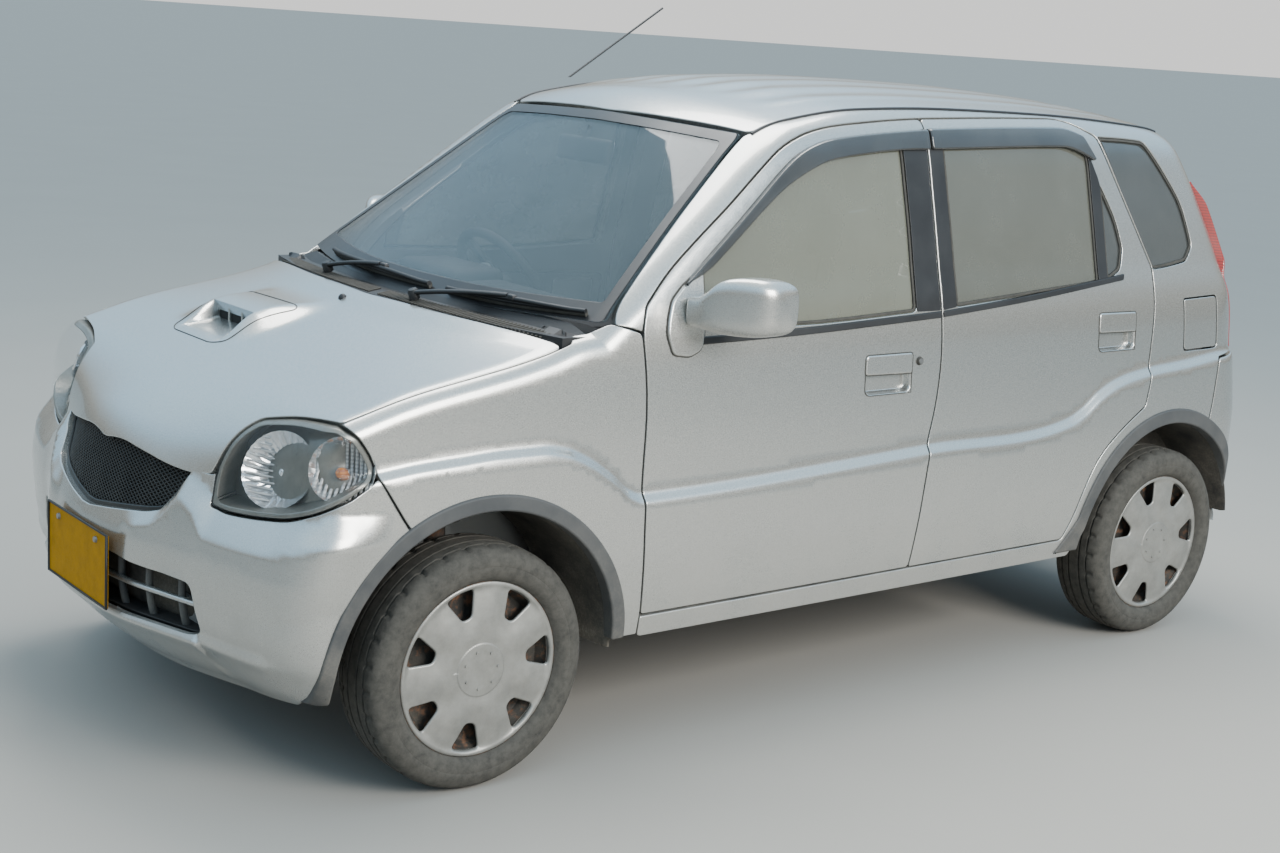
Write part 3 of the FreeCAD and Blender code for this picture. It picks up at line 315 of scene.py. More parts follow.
def makeMoulded(name, colour, rough, scale=900.0, dust=0.4, dustHigh=0.7, depth=0.0002,
                pale=1.5):
    material, tree, shader = newMaterial(name, rough=rough, specular=0.45)
    grain = useGroup(tree, mouldedGrain, Scale=scale, Change=0.6)
    dirt = useGroup(tree, roadDust, Low=0.12, High=dustHigh, Amount=dust, Scale=9.0)
    light = tuple(min(1.0, c * pale + 0.004) for c in colour)
    tone = mixColour(tree, grain["Tone"], colour, light)
    tone = mixColour(tree, dirt["Mask"], tone, dustColour)
    tree.links.new(tone, shader.inputs["Base Color"])
    tree.links.new(doMath(tree, "ADD", mapRange(tree, grain["Tone"], 0, 0.6, rough,
                                                min(1.0, rough + 0.12)),
                          doMath(tree, "MULTIPLY", dirt["Mask"], 0.25), clamp=True),
                   shader.inputs["Roughness"])
    addBump(tree, shader, grain["Height"], depth, 0.6)
    return material


def makeMetal(name, colour, rough, metal=1.0, dust=0.3, dustHigh=0.6, rust=0.0, scale=60.0):
    material, tree, shader = newMaterial(name, metal=metal, rough=rough)
    place = addNode(tree, "ShaderNodeTexCoord").outputs["Object"]
    stain = addNode(tree, "ShaderNodeTexNoise", {
        "Vector": place, "Scale": scale, "Detail": 7.0, "Roughness": 0.65}).outputs["Fac"]
    streak = addNode(tree, "ShaderNodeTexNoise", {
        "Vector": place, "Scale": scale * 9, "Detail": 2.0}).outputs["Fac"]
    dirt = useGroup(tree, roadDust, Low=0.1, High=dustHigh, Amount=dust, Scale=14.0)
    dark = tuple(c * 0.72 for c in colour)
    tone = mixColour(tree, mapRange(tree, stain, 0.3, 0.7), dark, colour)
    spots = mapRange(tree, stain, 0.62 - rust * 0.3, 0.78 - rust * 0.3)
    rusted = doMath(tree, "MULTIPLY", spots, min(1.0, rust * 2))
    tone = mixColour(tree, rusted, tone, (0.16, 0.065, 0.028))
    tone = mixColour(tree, dirt["Mask"], tone, dustColour)
    tree.links.new(tone, shader.inputs["Base Color"])
    covered = doMath(tree, "MAXIMUM", dirt["Mask"], rusted)
    tree.links.new(mapRange(tree, covered, 0, 1, metal, 0.0), shader.inputs["Metallic"])
    tree.links.new(doMath(tree, "ADD", mapRange(tree, streak, 0.3, 0.7, rough - 0.05,
                                                rough + 0.08),
                          doMath(tree, "MULTIPLY", covered, 0.4), clamp=True),
                   shader.inputs["Roughness"])
    addBump(tree, shader, doMath(tree, "ADD", streak, doMath(tree, "MULTIPLY", covered, 2.0)),
            0.0001, 0.5)
    return material


def makeGlass(name, colour, alpha, rough=0.02, dust=0.06, haze=0.03):
    # Tinted pane: part mirror, part see-through, with a dusty film. On the windscreen the base
    # colour is the tint and also a painted sky reflection
    material, tree, shader = newMaterial(name, rough=rough, coat=1.0, coatRoughness=0.01,
                                         metal=0.0, ior=1.5)
    place = addNode(tree, "ShaderNodeTexCoord").outputs["Object"]
    film = addNode(tree, "ShaderNodeTexNoise", {
        "Vector": place, "Scale": 5.0, "Detail": 6.0, "Roughness": 0.6}).outputs["Fac"]
    dirt = useGroup(tree, roadDust, Low=0.6, High=1.9, Amount=dust, Scale=11.0)
    tone = mixColour(tree, doMath(tree, "MULTIPLY", film, haze * 4), colour, (0.33, 0.34, 0.33))
    tone = mixColour(tree, dirt["Mask"], tone, dustColour)
    tree.links.new(tone, shader.inputs["Base Color"])
    solid = doMath(tree, "ADD", mapRange(tree, film, 0.3, 0.75, alpha - haze, alpha + haze),
                   dirt["Mask"], clamp=True)
    tree.links.new(solid, shader.inputs["Alpha"])
    tree.links.new(mapRange(tree, film, 0.35, 0.8, rough, rough + 0.03),
                   shader.inputs["Roughness"])
    return material


def makeRubber(name, values):
    material, tree, shader = newMaterial(name, rough=values["roughness"], specular=0.3)
    place = addNode(tree, "ShaderNodeTexCoord").outputs["Object"]
    cloud = addNode(tree, "ShaderNodeTexNoise", {
        "Vector": place, "Scale": 46.0, "Detail": 9.0, "Roughness": 0.72}).outputs["Fac"]
    pores = addNode(tree, "ShaderNodeTexNoise", {
        "Vector": place, "Scale": 900.0, "Detail": 3.0}).outputs["Fac"]
    tone = mixColour(tree, mapRange(tree, cloud, 0.32, 0.68), values["black"], values["grey"])
    film = doMath(tree, "MULTIPLY", mapRange(tree, cloud, 0.25, 0.7), values["dust"])
    tone = mixColour(tree, film, tone, values["dustColour"])
    tree.links.new(tone, shader.inputs["Base Color"])
    tree.links.new(mapRange(tree, pores, 0.3, 0.7, values["roughness"] - 0.06,
                            values["roughness"] + 0.1), shader.inputs["Roughness"])
    addBump(tree, shader, pores, 0.00025, 0.5)
    return material


def makeCloth(name, colour, second, scale):
    material, tree, shader = newMaterial(name, rough=0.92, sheen=0.25, specular=0.2)
    weave = useGroup(tree, wovenCloth, Scale=scale, Fluff=0.8)
    tone = mixColour(tree, mapRange(tree, weave["Tone"], 0.35, 0.65), colour, second)
    tone = mixColour(tree, doMath(tree, "MULTIPLY", weave["Height"], 0.35), tone,
                     tuple(c * 0.4 for c in colour))
    tree.links.new(tone, shader.inputs["Base Color"])
    tree.links.new(mapRange(tree, weave["Tone"], 0.3, 0.7, 0.84, 0.98),
                   shader.inputs["Roughness"])
    addBump(tree, shader, weave["Height"], 0.0006, 0.7)
    return material


def makeLens(name, colour, alpha, deep):
    # Coloured lamp plastic with moulded optic flutes under a glossy skin
    material, tree, shader = newMaterial(name, rough=0.06, coat=1.0, coatRoughness=0.02, ior=1.5)
    place = addNode(tree, "ShaderNodeTexCoord").outputs["Object"]
    flute = addNode(tree, "ShaderNodeTexWave", {
        "Vector": place, "Scale": 38.0, "Distortion": 0.0}, bands_direction="Z").outputs["Fac"]
    cloud = addNode(tree, "ShaderNodeTexNoise", {
        "Vector": place, "Scale": 14.0, "Detail": 5.0}).outputs["Fac"]
    tone = mixColour(tree, mapRange(tree, flute, 0.2, 0.8), colour, deep)
    tone = mixColour(tree, doMath(tree, "MULTIPLY", cloud, 0.18), tone, (0.5, 0.42, 0.4))
    tree.links.new(tone, shader.inputs["Base Color"])
    tree.links.new(mapRange(tree, cloud, 0.3, 0.7, alpha - 0.03, alpha + 0.03),
                   shader.inputs["Alpha"])
    tree.links.new(mapRange(tree, cloud, 0.3, 0.7, 0.04, 0.1), shader.inputs["Roughness"])
    addBump(tree, shader, flute, 0.0006, 0.4)
    return material


tyreRubber = {"roughness": 0.82, "black": (0.036, 0.034, 0.030), "grey": (0.062, 0.058, 0.050),
              "dust": 0.46, "dustColour": (0.118, 0.108, 0.092)}
paintSilver = makePaint("silver paint", paint, paint["dustAmount"])
paintInside = makePaint("inner silver paint", dict(paint, roughness=0.5, silver=(0.42, 0.43, 0.44)),
                        0.3)
trimGrey = makeMoulded("wheel arch plastic", (0.048, 0.05, 0.052), 0.6, 700.0, 0.7, 0.75)
trimBlack = makeMoulded("black outer plastic", (0.012, 0.012, 0.013), 0.42, 1200.0, 0.2, 0.6)
sashBlack = makeMoulded("window sash black", (0.015, 0.015, 0.016), 0.3, 1500.0, 0.1, 0.9,
                        0.00005)
meshBlack = makeMoulded("grille black", (0.008, 0.008, 0.008), 0.35, 1500.0, 0.35, 0.8, 0.0001)
linerBlack = makeMoulded("wheel liner black", (0.014, 0.013, 0.012), 0.85, 300.0, 0.9, 0.8,
                         0.0006)
cabinGrey = makeMoulded("cabin grey plastic", (0.085, 0.087, 0.092), 0.62, 800.0, 0.0)
cabinDark = makeMoulded("cabin dark plastic", (0.028, 0.029, 0.032), 0.58, 800.0, 0.0)
headlining = makeCloth("headlining", (0.40, 0.39, 0.36), (0.46, 0.45, 0.42), 300.0)
seatCloth = makeCloth("seat cloth", (0.10, 0.105, 0.12), (0.17, 0.175, 0.19), 420.0)
seatSide = makeCloth("seat side cloth", (0.05, 0.052, 0.06), (0.075, 0.078, 0.088), 500.0)
carpet = makeCloth("carpet", (0.045, 0.045, 0.05), (0.075, 0.074, 0.078), 250.0)
# The windscreen's bluish base colour is its tint and also a painted reflection of the sky
screenGlass = makeGlass("windscreen glass", (0.075, 0.115, 0.135), 0.30)
sideGlass = makeGlass("side glass", (0.19, 0.19, 0.145), 0.70)
rearDoorGlass = makeGlass("rear door glass", (0.105, 0.105, 0.083), 0.82)
rearGlass = makeGlass("dark rear glass", (0.040, 0.044, 0.043), 0.88)
visorSmoke = makeGlass("smoked visor", (0.016, 0.015, 0.015), 0.86, 0.08, 0.14)
lampGlass = makeGlass("headlamp cover", (0.30, 0.32, 0.33), 0.035, 0.02, 0.01, 0.012)
lampRed = makeLens("tail lamp red", (0.42, 0.012, 0.010), 0.96, (0.22, 0.004, 0.004))
lampAmber = makeLens("amber lens", (0.62, 0.20, 0.02), 0.9, (0.40, 0.10, 0.01))
lampWhite = makeLens("clear lens", (0.62, 0.62, 0.60), 0.9, (0.42, 0.42, 0.41))
chrome = makeMetal("lamp reflector", (0.86, 0.87, 0.88), 0.08, 1.0, 0.0, 0.5, 0.0, 40.0)
bezelGrey = makeMetal("lamp bezel", (0.24, 0.235, 0.21), 0.32, 0.6, 0.05, 0.9, 0.0, 30.0)
lampSilver = makeMetal("lamp silver", (0.88, 0.90, 0.92), 0.16, 0.8, 0.0, 0.9, 0.0, 30.0)
capSilver = makeMetal("hub cap silver", (0.36, 0.35, 0.325), 0.38, 0.6, 0.3, 1.1, 0.0, 24.0)
wheelSteel = makeMetal("wheel steel", (0.035, 0.032, 0.029), 0.55, 0.4, 0.35, 0.8, 0.45, 60.0)
castIron = makeMetal("cast iron", (0.07, 0.068, 0.066), 0.6, 0.6, 0.5, 0.9, 0.45, 30.0)
steelBare = makeMetal("bare steel", (0.34, 0.34, 0.34), 0.35, 0.95, 0.4, 0.9, 0.2, 40.0)
underSeal = makeMetal("underbody coat", (0.05, 0.05, 0.05), 0.75, 0.1, 0.7, 0.6, 0.3, 12.0)
tyreBlack = makeRubber("tyre rubber", tyreRubber)
sealRubber = makeRubber("door seal", dict(tyreRubber, dust=0.15, roughness=0.7))
plateAmber = makeMetal("number plate", (0.46, 0.22, 0.0), 0.55, 0.0, 0.0, 0.9, 0.0, 26.0)
print("stage: materials made")
for node in plateAmber.node_tree.nodes:
    if node.type == "BSDF_PRINCIPLED":
        node.inputs["Specular IOR Level"].default_value = 0.08

# The painted skin is one smooth closed surface, and every outer panel is cut from it.
# Tables are in millimetres: height or length, then the size there.
bodyShape = {
    "halfWidth": [(150, 672), (190, 682), (283, 700), (400, 713), (500, 717), (620, 716),
                  (700, 713), (800, 708), (900, 701), (985, 690), (1020, 683), (1100, 662),
                  (1200, 637), (1300, 611), (1400, 584), (1450, 566), (1480, 550),
                  (1520, 525), (1560, 480)],
    "nose": [(150, 1500), (190, 1545), (250, 1612), (300, 1650), (342, 1680), (424, 1692),
             (507, 1688), (540, 1680), (600, 1663), (640, 1650), (705, 1641), (1100, 1720)],
    "noseSweep": [(0, 0), (80, 3), (170, 14), (325, 55), (410, 80), (500, 99), (600, 126),
                  (680, 154), (740, 182), (800, 230)],
    "tail": [(200, -1640), (300, -1690), (500, -1697), (640, -1697), (700, -1689),
             (830, -1669), (985, -1657), (1064, -1622), (1300, -1508), (1400, -1446),
             (1570, -1340)],
    "tailCurve": 0.10,
    "bonnet": [(500, 1024), (700, 1016), (880, 1000), (976, 986), (1042, 958), (1161, 920),
               (1248, 895), (1339, 866), (1465, 825), (1540, 793), (1600, 752), (1641, 705),
               (1680, 640)],
    "bonnetSweep": [(980, 0.235), (1350, 0.0), (1420, 0.0), (1485, 0.1), (1600, 0.523)],
    "bonnetDrop": 0.155,
    "roof": [(-1500, 1478), (-1400, 1495), (-1150, 1520), (-800, 1539), (-400, 1545),
             (-100, 1536), (100, 1510), (230, 1480), (300, 1450)],
    "roofCrown": 0.188,
    "roofBead": 0.0022,
    "beadPitch": 0.128,
    "crease": [(-1600, 828), (-1484, 821), (-1322, 805), (-1164, 794), (-1088, 785),
               (-1003, 766), (-942, 740), (-873, 697), (-818, 675), (-258, 650),
               (668, 618), (703, 630), (754, 671), (827, 718), (881, 741), (951, 752),
               (1052, 752), (1150, 747), (1261, 741), (1346, 732), (1500, 722)],
    "creaseStep": 0.018,
    "creaseSoftness": 0.005,
}


def makeCurve(rows):
    # Smooth curve through the rows without overshoot, straight beyond its ends
    table = np.array(sorted(rows), float)
    table[:, 0] /= 1000.0
    xs = table[:, 0]
    ys = table[:, 1] / 1000.0 if abs(table[:, 1]).max() > 5 else table[:, 1]
    runs = np.diff(xs)
    rises = np.diff(ys) / runs
    slopes = np.empty(len(xs))
    slopes[0] = rises[0]
    slopes[-1] = rises[-1]
    before = rises[:-1]
    after = rises[1:]
    same = before * after > 0
    weighted = (runs[:-1] + runs[1:]) / (
        runs[1:] / np.where(same, before, 1) + runs[:-1] / np.where(same, after, 1))
    slopes[1:-1] = np.where(same, weighted, 0.0)

    def at(x):
        x = np.asarray(x, float)
        i = np.clip(np.searchsorted(xs, x) - 1, 0, len(xs) - 2)
        h = runs[i]
        t = np.clip((x - xs[i]) / h, 0, 1)
        value = (ys[i] * (1 + 2 * t) * (1 - t) ** 2 + slopes[i] * h * t * (1 - t) ** 2
                 + ys[i + 1] * t * t * (3 - 2 * t) + slopes[i + 1] * h * t * t * (t - 1))
        value = value + np.where(x < xs[0], (x - xs[0]) * slopes[0], 0)
        return value + np.where(x > xs[-1], (x - xs[-1]) * slopes[-1], 0)

    return at


curves = {key: makeCurve(bodyShape[key]) for key in
          ("halfWidth", "nose", "noseSweep", "tail", "bonnet", "bonnetSweep", "roof", "crease")}


def smoothMax(a, b, reach):
    overlap = np.maximum(reach - np.abs(a - b), 0) / reach
    return np.maximum(a, b) + overlap * overlap * reach * 0.25


def softStep(x, low, high):
    t = np.clip((x - low) / (high - low), 0, 1)
    return t * t * (3 - 2 * t)


def bodyField(p):
    # Below zero inside the car, above zero outside it
    x, y, z = p[:, 0], np.abs(p[:, 1]), p[:, 2]
    belly = 0.008 * ((x + 0.1) / 1.4) ** 2
    below = 1 / (1 + np.exp(-np.clip((curves["crease"](x) - z) / bodyShape["creaseSoftness"],
                                     -40, 40)))
    side = y - curves["halfWidth"](z) + belly - bodyShape["creaseStep"] * below
    nose = (x - curves["nose"](z) + curves["noseSweep"](y)) / np.sqrt(1 + (0.75 * y) ** 2)
    tail = curves["tail"](z) + bodyShape["tailCurve"] * y * y - x
    along = x + curves["bonnetSweep"](x) * y * y
    bonnet = z - curves["bonnet"](along) + bodyShape["bonnetDrop"] * y * y * softStep(
        x, 1.45, 1.64)
    screen = (x - 0.902 + 1.393 * (z - 1.0) + y * y / 3.5) / 1.71
    bead = np.cos(2 * np.pi * y / bodyShape["beadPitch"]) * softStep(0.42 - y, 0, 0.04)
    bead = bead * softStep(0.12 - x, 0, 0.1) * softStep(x + 1.3, 0, 0.1)
    roof = z - curves["roof"](x) + bodyShape["roofCrown"] * y * y
    roof = roof - bodyShape["roofBead"] * bead
    top = np.minimum(bonnet, smoothMax(screen, roof, 0.03))
    whole = smoothMax(side, nose, 0.06)
    whole = smoothMax(whole, tail, 0.13)
    return smoothMax(whole, top, 0.05)


def fieldNormal(p, width=0.0006):
    normal = np.empty_like(p)
    for axis in range(3):
        shift = np.zeros(3)
        shift[axis] = width
        normal[:, axis] = bodyField(p + shift) - bodyField(p - shift)
    return normal / np.maximum(np.linalg.norm(normal, axis=1, keepdims=True), 1e-9)


def shootOut(origin, direction, far=2.2):
    # Distance from each point inside the car to its skin along the direction
    low = np.zeros(len(origin))
    high = np.full(len(origin), far)
    for turn in range(34):
        middle = (low + high) / 2
        outside = bodyField(origin + direction * middle[:, None]) > 0
        high = np.where(outside, middle, high)
        low = np.where(outside, low, middle)
    return (low + high) / 2


# Ways to look at the skin. Each turns flat coordinates in metres into rays, and back.
def sideRays(uv):
    origin = np.column_stack([uv[:, 0], np.zeros(len(uv)), uv[:, 1]])
    return origin, np.tile([0.0, 1.0, 0.0], (len(uv), 1))


def topRays(uv):
    high = np.where(uv[:, 0] > 0.85, 0.5, 1.0)
    origin = np.column_stack([uv[:, 0], uv[:, 1], high])
    return origin, np.tile([0.0, 0.0, 1.0], (len(uv), 1))


def roundRays(uv):
    angle = uv[:, 1] / 0.7
    origin = np.column_stack([uv[:, 0], np.zeros(len(uv)), np.full(len(uv), 0.62)])
    return origin, np.column_stack([np.zeros(len(uv)), np.cos(angle), np.sin(angle)])


def noseRays(uv):
    angle = uv[:, 0] / 0.75
    origin = np.column_stack([np.full(len(uv), 0.9), np.zeros(len(uv)), uv[:, 1]])
    return origin, np.column_stack([np.cos(angle), np.sin(angle), np.zeros(len(uv))])


def rearRays(uv):
    angle = uv[:, 0] / 0.7
    origin = np.column_stack([np.full(len(uv), -1.0), np.zeros(len(uv)), uv[:, 1]])
    return origin, np.column_stack([-np.cos(angle), np.sin(angle), np.zeros(len(uv))])


def gateRays(uv):
    angle = uv[:, 1] / 0.6
    origin = np.column_stack([np.full(len(uv), -1.0), uv[:, 0], np.full(len(uv), 1.0)])
    return origin, np.column_stack([-np.cos(angle), np.zeros(len(uv)), np.sin(angle)])


def frontRays(uv):
    origin = np.column_stack([np.where(uv[:, 1] > 0.97, -0.4, 0.9), uv[:, 0], uv[:, 1]])
    return origin, np.tile([1.0, 0.0, 0.0], (len(uv), 1))


def hoodRays(uv):
    angle = uv[:, 0] / 0.7
    origin = np.column_stack([np.full(len(uv), 0.9), uv[:, 1], np.full(len(uv), 0.35)])
    return origin, np.column_stack([np.cos(angle), np.zeros(len(uv)), np.sin(angle)])


rayKinds = {
    "side": (sideRays, lambda p: p[:, [0, 2]]),
    "top": (topRays, lambda p: p[:, [0, 1]]),
    "round": (roundRays, lambda p: np.column_stack([
        p[:, 0], 0.7 * np.arctan2(p[:, 2] - 0.62, p[:, 1])])),
    "nose": (noseRays, lambda p: np.column_stack([
        0.75 * np.arctan2(p[:, 1], p[:, 0] - 0.9), p[:, 2]])),
    "rear": (rearRays, lambda p: np.column_stack([
        0.7 * np.arctan2(p[:, 1], -1.0 - p[:, 0]), p[:, 2]])),
    "gate": (gateRays, lambda p: np.column_stack([
        p[:, 1], 0.6 * np.arctan2(p[:, 2] - 1.0, -1.0 - p[:, 0])])),
    "front": (frontRays, lambda p: p[:, [1, 2]]),
    "hood": (hoodRays, lambda p: np.column_stack([
        0.7 * np.arctan2(p[:, 2] - 0.35, p[:, 0] - 0.9), p[:, 1]])),
}


def backRays(uv):
    origin = np.column_stack([np.full(len(uv), -1.0), uv[:, 0], uv[:, 1]])
    return origin, np.tile([-1.0, 0.0, 0.0], (len(uv), 1))


viewRays = {"side": sideRays, "top": topRays, "front": frontRays, "back": backRays}


def soften(points, radius, closed=False):
    # Rounds the corners of a line: sharp ones by the radius, gentle ones as far as they go
    points = [np.array(p, float) for p in points]
    count = len(points)
    made = []
    for i in range(count):
        here = points[i]
        if not closed and i in (0, count - 1):
            made.append(here)
            continue
        before = points[i - 1]
        after = points[(i + 1) % count]
        runIn = np.linalg.norm(here - before)
        runOut = np.linalg.norm(after - here)
        if min(runIn, runOut) < 1e-7:
            continue
        a = (here - before) / runIn
        b = (after - here) / runOut
        turn = math.degrees(math.acos(max(-1.0, min(1.0, float(a @ b)))))
        if turn < 1.0:
            made.append(here)
            continue
        reach = 0.46 * min(runIn, runOut)
        if turn > 26:
            reach = min(radius, reach)
        steps = 6 if turn > 26 else 3
        start = here - a * reach
        end = here + b * reach
        for k in range(steps + 1):
            t = k / steps
            made.append(start * (1 - t) ** 2 + here * 2 * t * (1 - t) + end * t * t)
    return np.array(made)


def refine(points, longest, closed=False):
    made = []
    count = len(points)
    last = count if closed else count - 1
    for i in range(last):
        a = points[i]
        b = points[(i + 1) % count]
        run = np.linalg.norm(b - a)
        pieces = max(1, int(math.ceil(run / longest)))
        for k in range(pieces):
            made.append(a + (b - a) * k / pieces)
    if not closed:
        made.append(points[-1])
    kept = [made[0]]
    for p in made[1:]:
        if np.linalg.norm(p - kept[-1]) > 0.0008:
            kept.append(p)
    if closed and np.linalg.norm(kept[0] - kept[-1]) < 0.0008:
        kept.pop()
    return np.array(kept)


def onSkin(view, points, radius=14.0, closed=False):
    # A line drawn in one view, in millimetres, laid on the skin
    flat = refine(soften(points, radius, closed) / 1000.0, 0.022, closed)
    origin, direction = viewRays[view](flat)
    return origin + direction * shootOut(origin, direction)[:, None]


def insideOf(points, polygon):
    x, y = points[:, 0], points[:, 1]
    hit = np.zeros(len(points), bool)
    for i in range(len(polygon)):
        ax, ay = polygon[i - 1]
        bx, by = polygon[i]
        if ay == by:
            continue
        crosses = (ay > y) != (by > y)
        hit ^= crosses & (x < (bx - ax) * (y - ay) / (by - ay) + ax)
    return hit


def nearest(points, ring):
    best = np.full(len(points), 9.0)
    for i in range(len(ring)):
        a = ring[i - 1]
        b = ring[i]
        ab = b - a
        t = np.clip(((points - a) @ ab) / max(float(ab @ ab), 1e-12), 0, 1)
        best = np.minimum(best, np.linalg.norm(points - a - t[:, None] * ab, axis=1))
    return best


def turnedArea(ring):
    x, y = ring[:, 0], ring[:, 1]
    return 0.5 * float(np.sum(x * np.roll(y, -1) - np.roll(x, -1) * y))


def drawIn(ring, distance):
    # The ring moved towards its own left side, which is its inside when it runs anticlockwise
    ahead = np.roll(ring, -1, axis=0) - ring
    ahead = ahead / np.maximum(np.linalg.norm(ahead, axis=1, keepdims=True), 1e-9)
    left = np.column_stack([-ahead[:, 1], ahead[:, 0]])
    both = left + np.roll(left, 1, axis=0)
    size = np.linalg.norm(both, axis=1, keepdims=True)
    both = both / np.maximum(size, 1e-6)
    lean = np.clip((both * left).sum(1, keepdims=True), 0.45, 1.0)
    return ring + both * distance / lean


def makeObject(name, verts, faces, loopNormals=None, materials=(), slots=None):
    mesh = bpy.data.meshes.new(name)
    mesh.from_pydata([tuple(v) for v in verts], [], [tuple(int(i) for i in f) for f in faces])
    for material in materials:
        mesh.materials.append(material)
    if slots is not None:
        mesh.polygons.foreach_set("material_index", np.asarray(slots, np.int32))
    mesh.polygons.foreach_set("use_smooth", np.ones(len(mesh.polygons), bool))
    mesh.update()
    if loopNormals is not None:
        mesh.normals_split_custom_set([tuple(n) for n in loopNormals])
    item = bpy.data.objects.new(name, mesh)
    bpy.context.scene.collection.objects.link(item)
    return item


def cutRings(ring, gap, edge):
    # outline at the gap, then two steps of the rounded edge
    outer = drawIn(ring, gap)
    middle = drawIn(ring, gap + edge * 0.29)
    inner = drawIn(ring, gap + edge)
    return outer, middle, inner


def shellData(outline, way, depth, holes=(), step=0.020, lift=0.0, edge=0.0024, gap=0.0022,
              guides=(), dish=None, surface=None, run=0.011):
    # A closed shell: front face, rounded edge and back, with holes. "surface" stands in for
    # the car's skin where the piece has a shape of its own.
    rays, flatten = rayKinds[way] if surface is None else (None, np.asarray)
    rings = []
    for k, points in enumerate([outline] + list(holes)):
        flat = refine(soften(flatten(points), 0.010, True), run, True)
        anticlockwise = turnedArea(flat) > 0
        if anticlockwise != (k == 0):
            flat = flat[::-1].copy()
        rings.append(flat)
    cut = [cutRings(ring, gap, edge) for ring in rings]
    inner = [c[2] for c in cut]
    low = inner[0].min(0)
    high = inner[0].max(0)
    rows = np.arange(low[1], high[1], step * 0.87)
    grid = []
    for k, v in enumerate(rows):
        line = np.arange(low[0] + (k % 2) * step / 2, high[0], step)
        grid.append(np.column_stack([line, np.full(len(line), v)]))
    grid = np.vstack(grid) if grid else np.zeros((0, 2))
    extra = np.vstack([flatten(g) for g in guides]) if len(guides) else np.zeros((0, 2))
    if len(extra):
        keep = np.ones(len(grid), bool)
        for g in guides:
            flat = flatten(g)
            for start in range(0, len(grid), 4000):
                part = grid[start:start + 4000]
                span = np.abs(part[:, None, :] - flat[None, ::3, :]).max(2).min(1)
                keep[start:start + 4000] &= span > step * 0.75
        grid = grid[keep]

    def within(points, margin):
        ok = insideOf(points, inner[0])
        for ring in inner[1:]:
            ok &= ~insideOf(points, ring)
        chosen = points[ok]
        far = np.ones(len(chosen), bool)
        for ring in inner:
            far &= nearest(chosen, ring) > margin
        return chosen[far]

    grid = within(grid, step * 0.5)
    if len(extra):
        grid = np.vstack([grid, within(extra, 0.003)])
    base = np.vstack(inner + [grid])
    edges = []
    start = 0
    for ring in inner:
        n = len(ring)
        edges += [(start + i, start + (i + 1) % n) for i in range(n)]
        start += n
    made = delaunay_2d_cdt([Vector(p) for p in base], edges, [], 1, 1e-7, True)
    flat = np.array([(p.x, p.y) for p in made[0]])
    back = {}
    for i, source in enumerate(made[3]):
        for s in source:
            back[s] = i
    triangles = np.array([tuple(f) for f in made[2]], int)
    centre = flat[triangles].mean(1)
    keep = insideOf(centre, inner[0])
    for ring in inner[1:]:
        keep &= ~insideOf(centre, ring)
    triangles = triangles[keep]

    def place(uv, down):
        if surface is None:
            origin, direction = rays(uv)
            hit = origin + direction * shootOut(origin, direction)[:, None]
            normal = fieldNormal(hit)
        else:
            hit, normal, direction = surface(uv)
        raised = lift
        if dish is not None:
            raised = raised + dish(hit)
        lean = np.maximum((normal * direction).sum(1), 0.35)
        return hit + direction * ((raised - down) / lean)[:, None], normal

    top, topNormal = place(flat, 0.0)
    if dish is not None:
        near = 0.0007
        sideways = place(flat + [near, 0], 0.0)[0] - place(flat - [near, 0], 0.0)[0]
        upwards = place(flat + [0, near], 0.0)[0] - place(flat - [0, near], 0.0)[0]
        total = np.cross(sideways, upwards)
        size = np.linalg.norm(total, axis=1, keepdims=True)
        total = total / np.maximum(size, 1e-12)
        flip = np.sign((total * topNormal).sum(1, keepdims=True))
        topNormal = np.where(size > 1e-12, total * np.where(flip == 0, 1, flip), topNormal)
    under = place(flat, depth)[0]
    count = len(flat)
    verts = [top, under]
    total = count * 2
    faces = []
    normals = []
    kinds = []
    across = np.cross(top[triangles[:, 1]] - top[triangles[:, 0]],
                      top[triangles[:, 2]] - top[triangles[:, 0]])
    turned = float((across * topNormal[triangles[:, 0]]).sum()) < 0
    for t in triangles:
        t = t[::-1] if turned else t
        faces.append(t)
        normals += [topNormal[i] for i in t]
        kinds.append(0)
        behind = t[::-1]
        faces.append(behind + count)
        normals += [-topNormal[i] for i in behind]
        kinds.append(1)
    offset = 0
    for ring, (outer, middle, deep) in zip(rings, cut):
        n = len(ring)
        ids = np.array([back[offset + i] for i in range(n)])
        offset += n
        p1, n1 = place(middle, edge * 0.29)
        p2, n2 = place(outer, edge)
        p3 = place(outer, depth)[0]
        tangent = np.roll(p2, -1, axis=0) - np.roll(p2, 1, axis=0)
        outward = np.cross(tangent, n2)
        outward = outward / np.maximum(np.linalg.norm(outward, axis=1, keepdims=True), 1e-9)
        side = np.sign((outward * (p2 - top[ids])).sum(1, keepdims=True))
        outward = outward * np.where(side == 0, 1, side)
        slope = n1 + outward
        slope = slope / np.linalg.norm(slope, axis=1, keepdims=True)
        i1 = np.arange(n) + total
        i2 = i1 + n
        i3 = i2 + n
        total += 3 * n
        verts += [p1, p2, p3]
        strips = [(ids, topNormal[ids], i1, slope, 0), (i1, slope, i2, outward, 0),
                  (i2, outward, i3, outward, 0), (i3, outward, ids + count, outward, 1)]
        for ia, na, ib, nb, kind in strips:
            for i in range(n):
                j = (i + 1) % n
                quad = (ia[i], ib[i], ib[j], ia[j])
                qn = [na[i], nb[i], nb[j], na[j]]
                if len({int(q) for q in quad}) < 4:
                    continue
                if turned:
                    quad = quad[::-1]
                    qn = qn[::-1]
                faces.append(quad)
                normals += qn
                kinds.append(kind)
    return np.vstack(verts), faces, np.array(normals), kinds


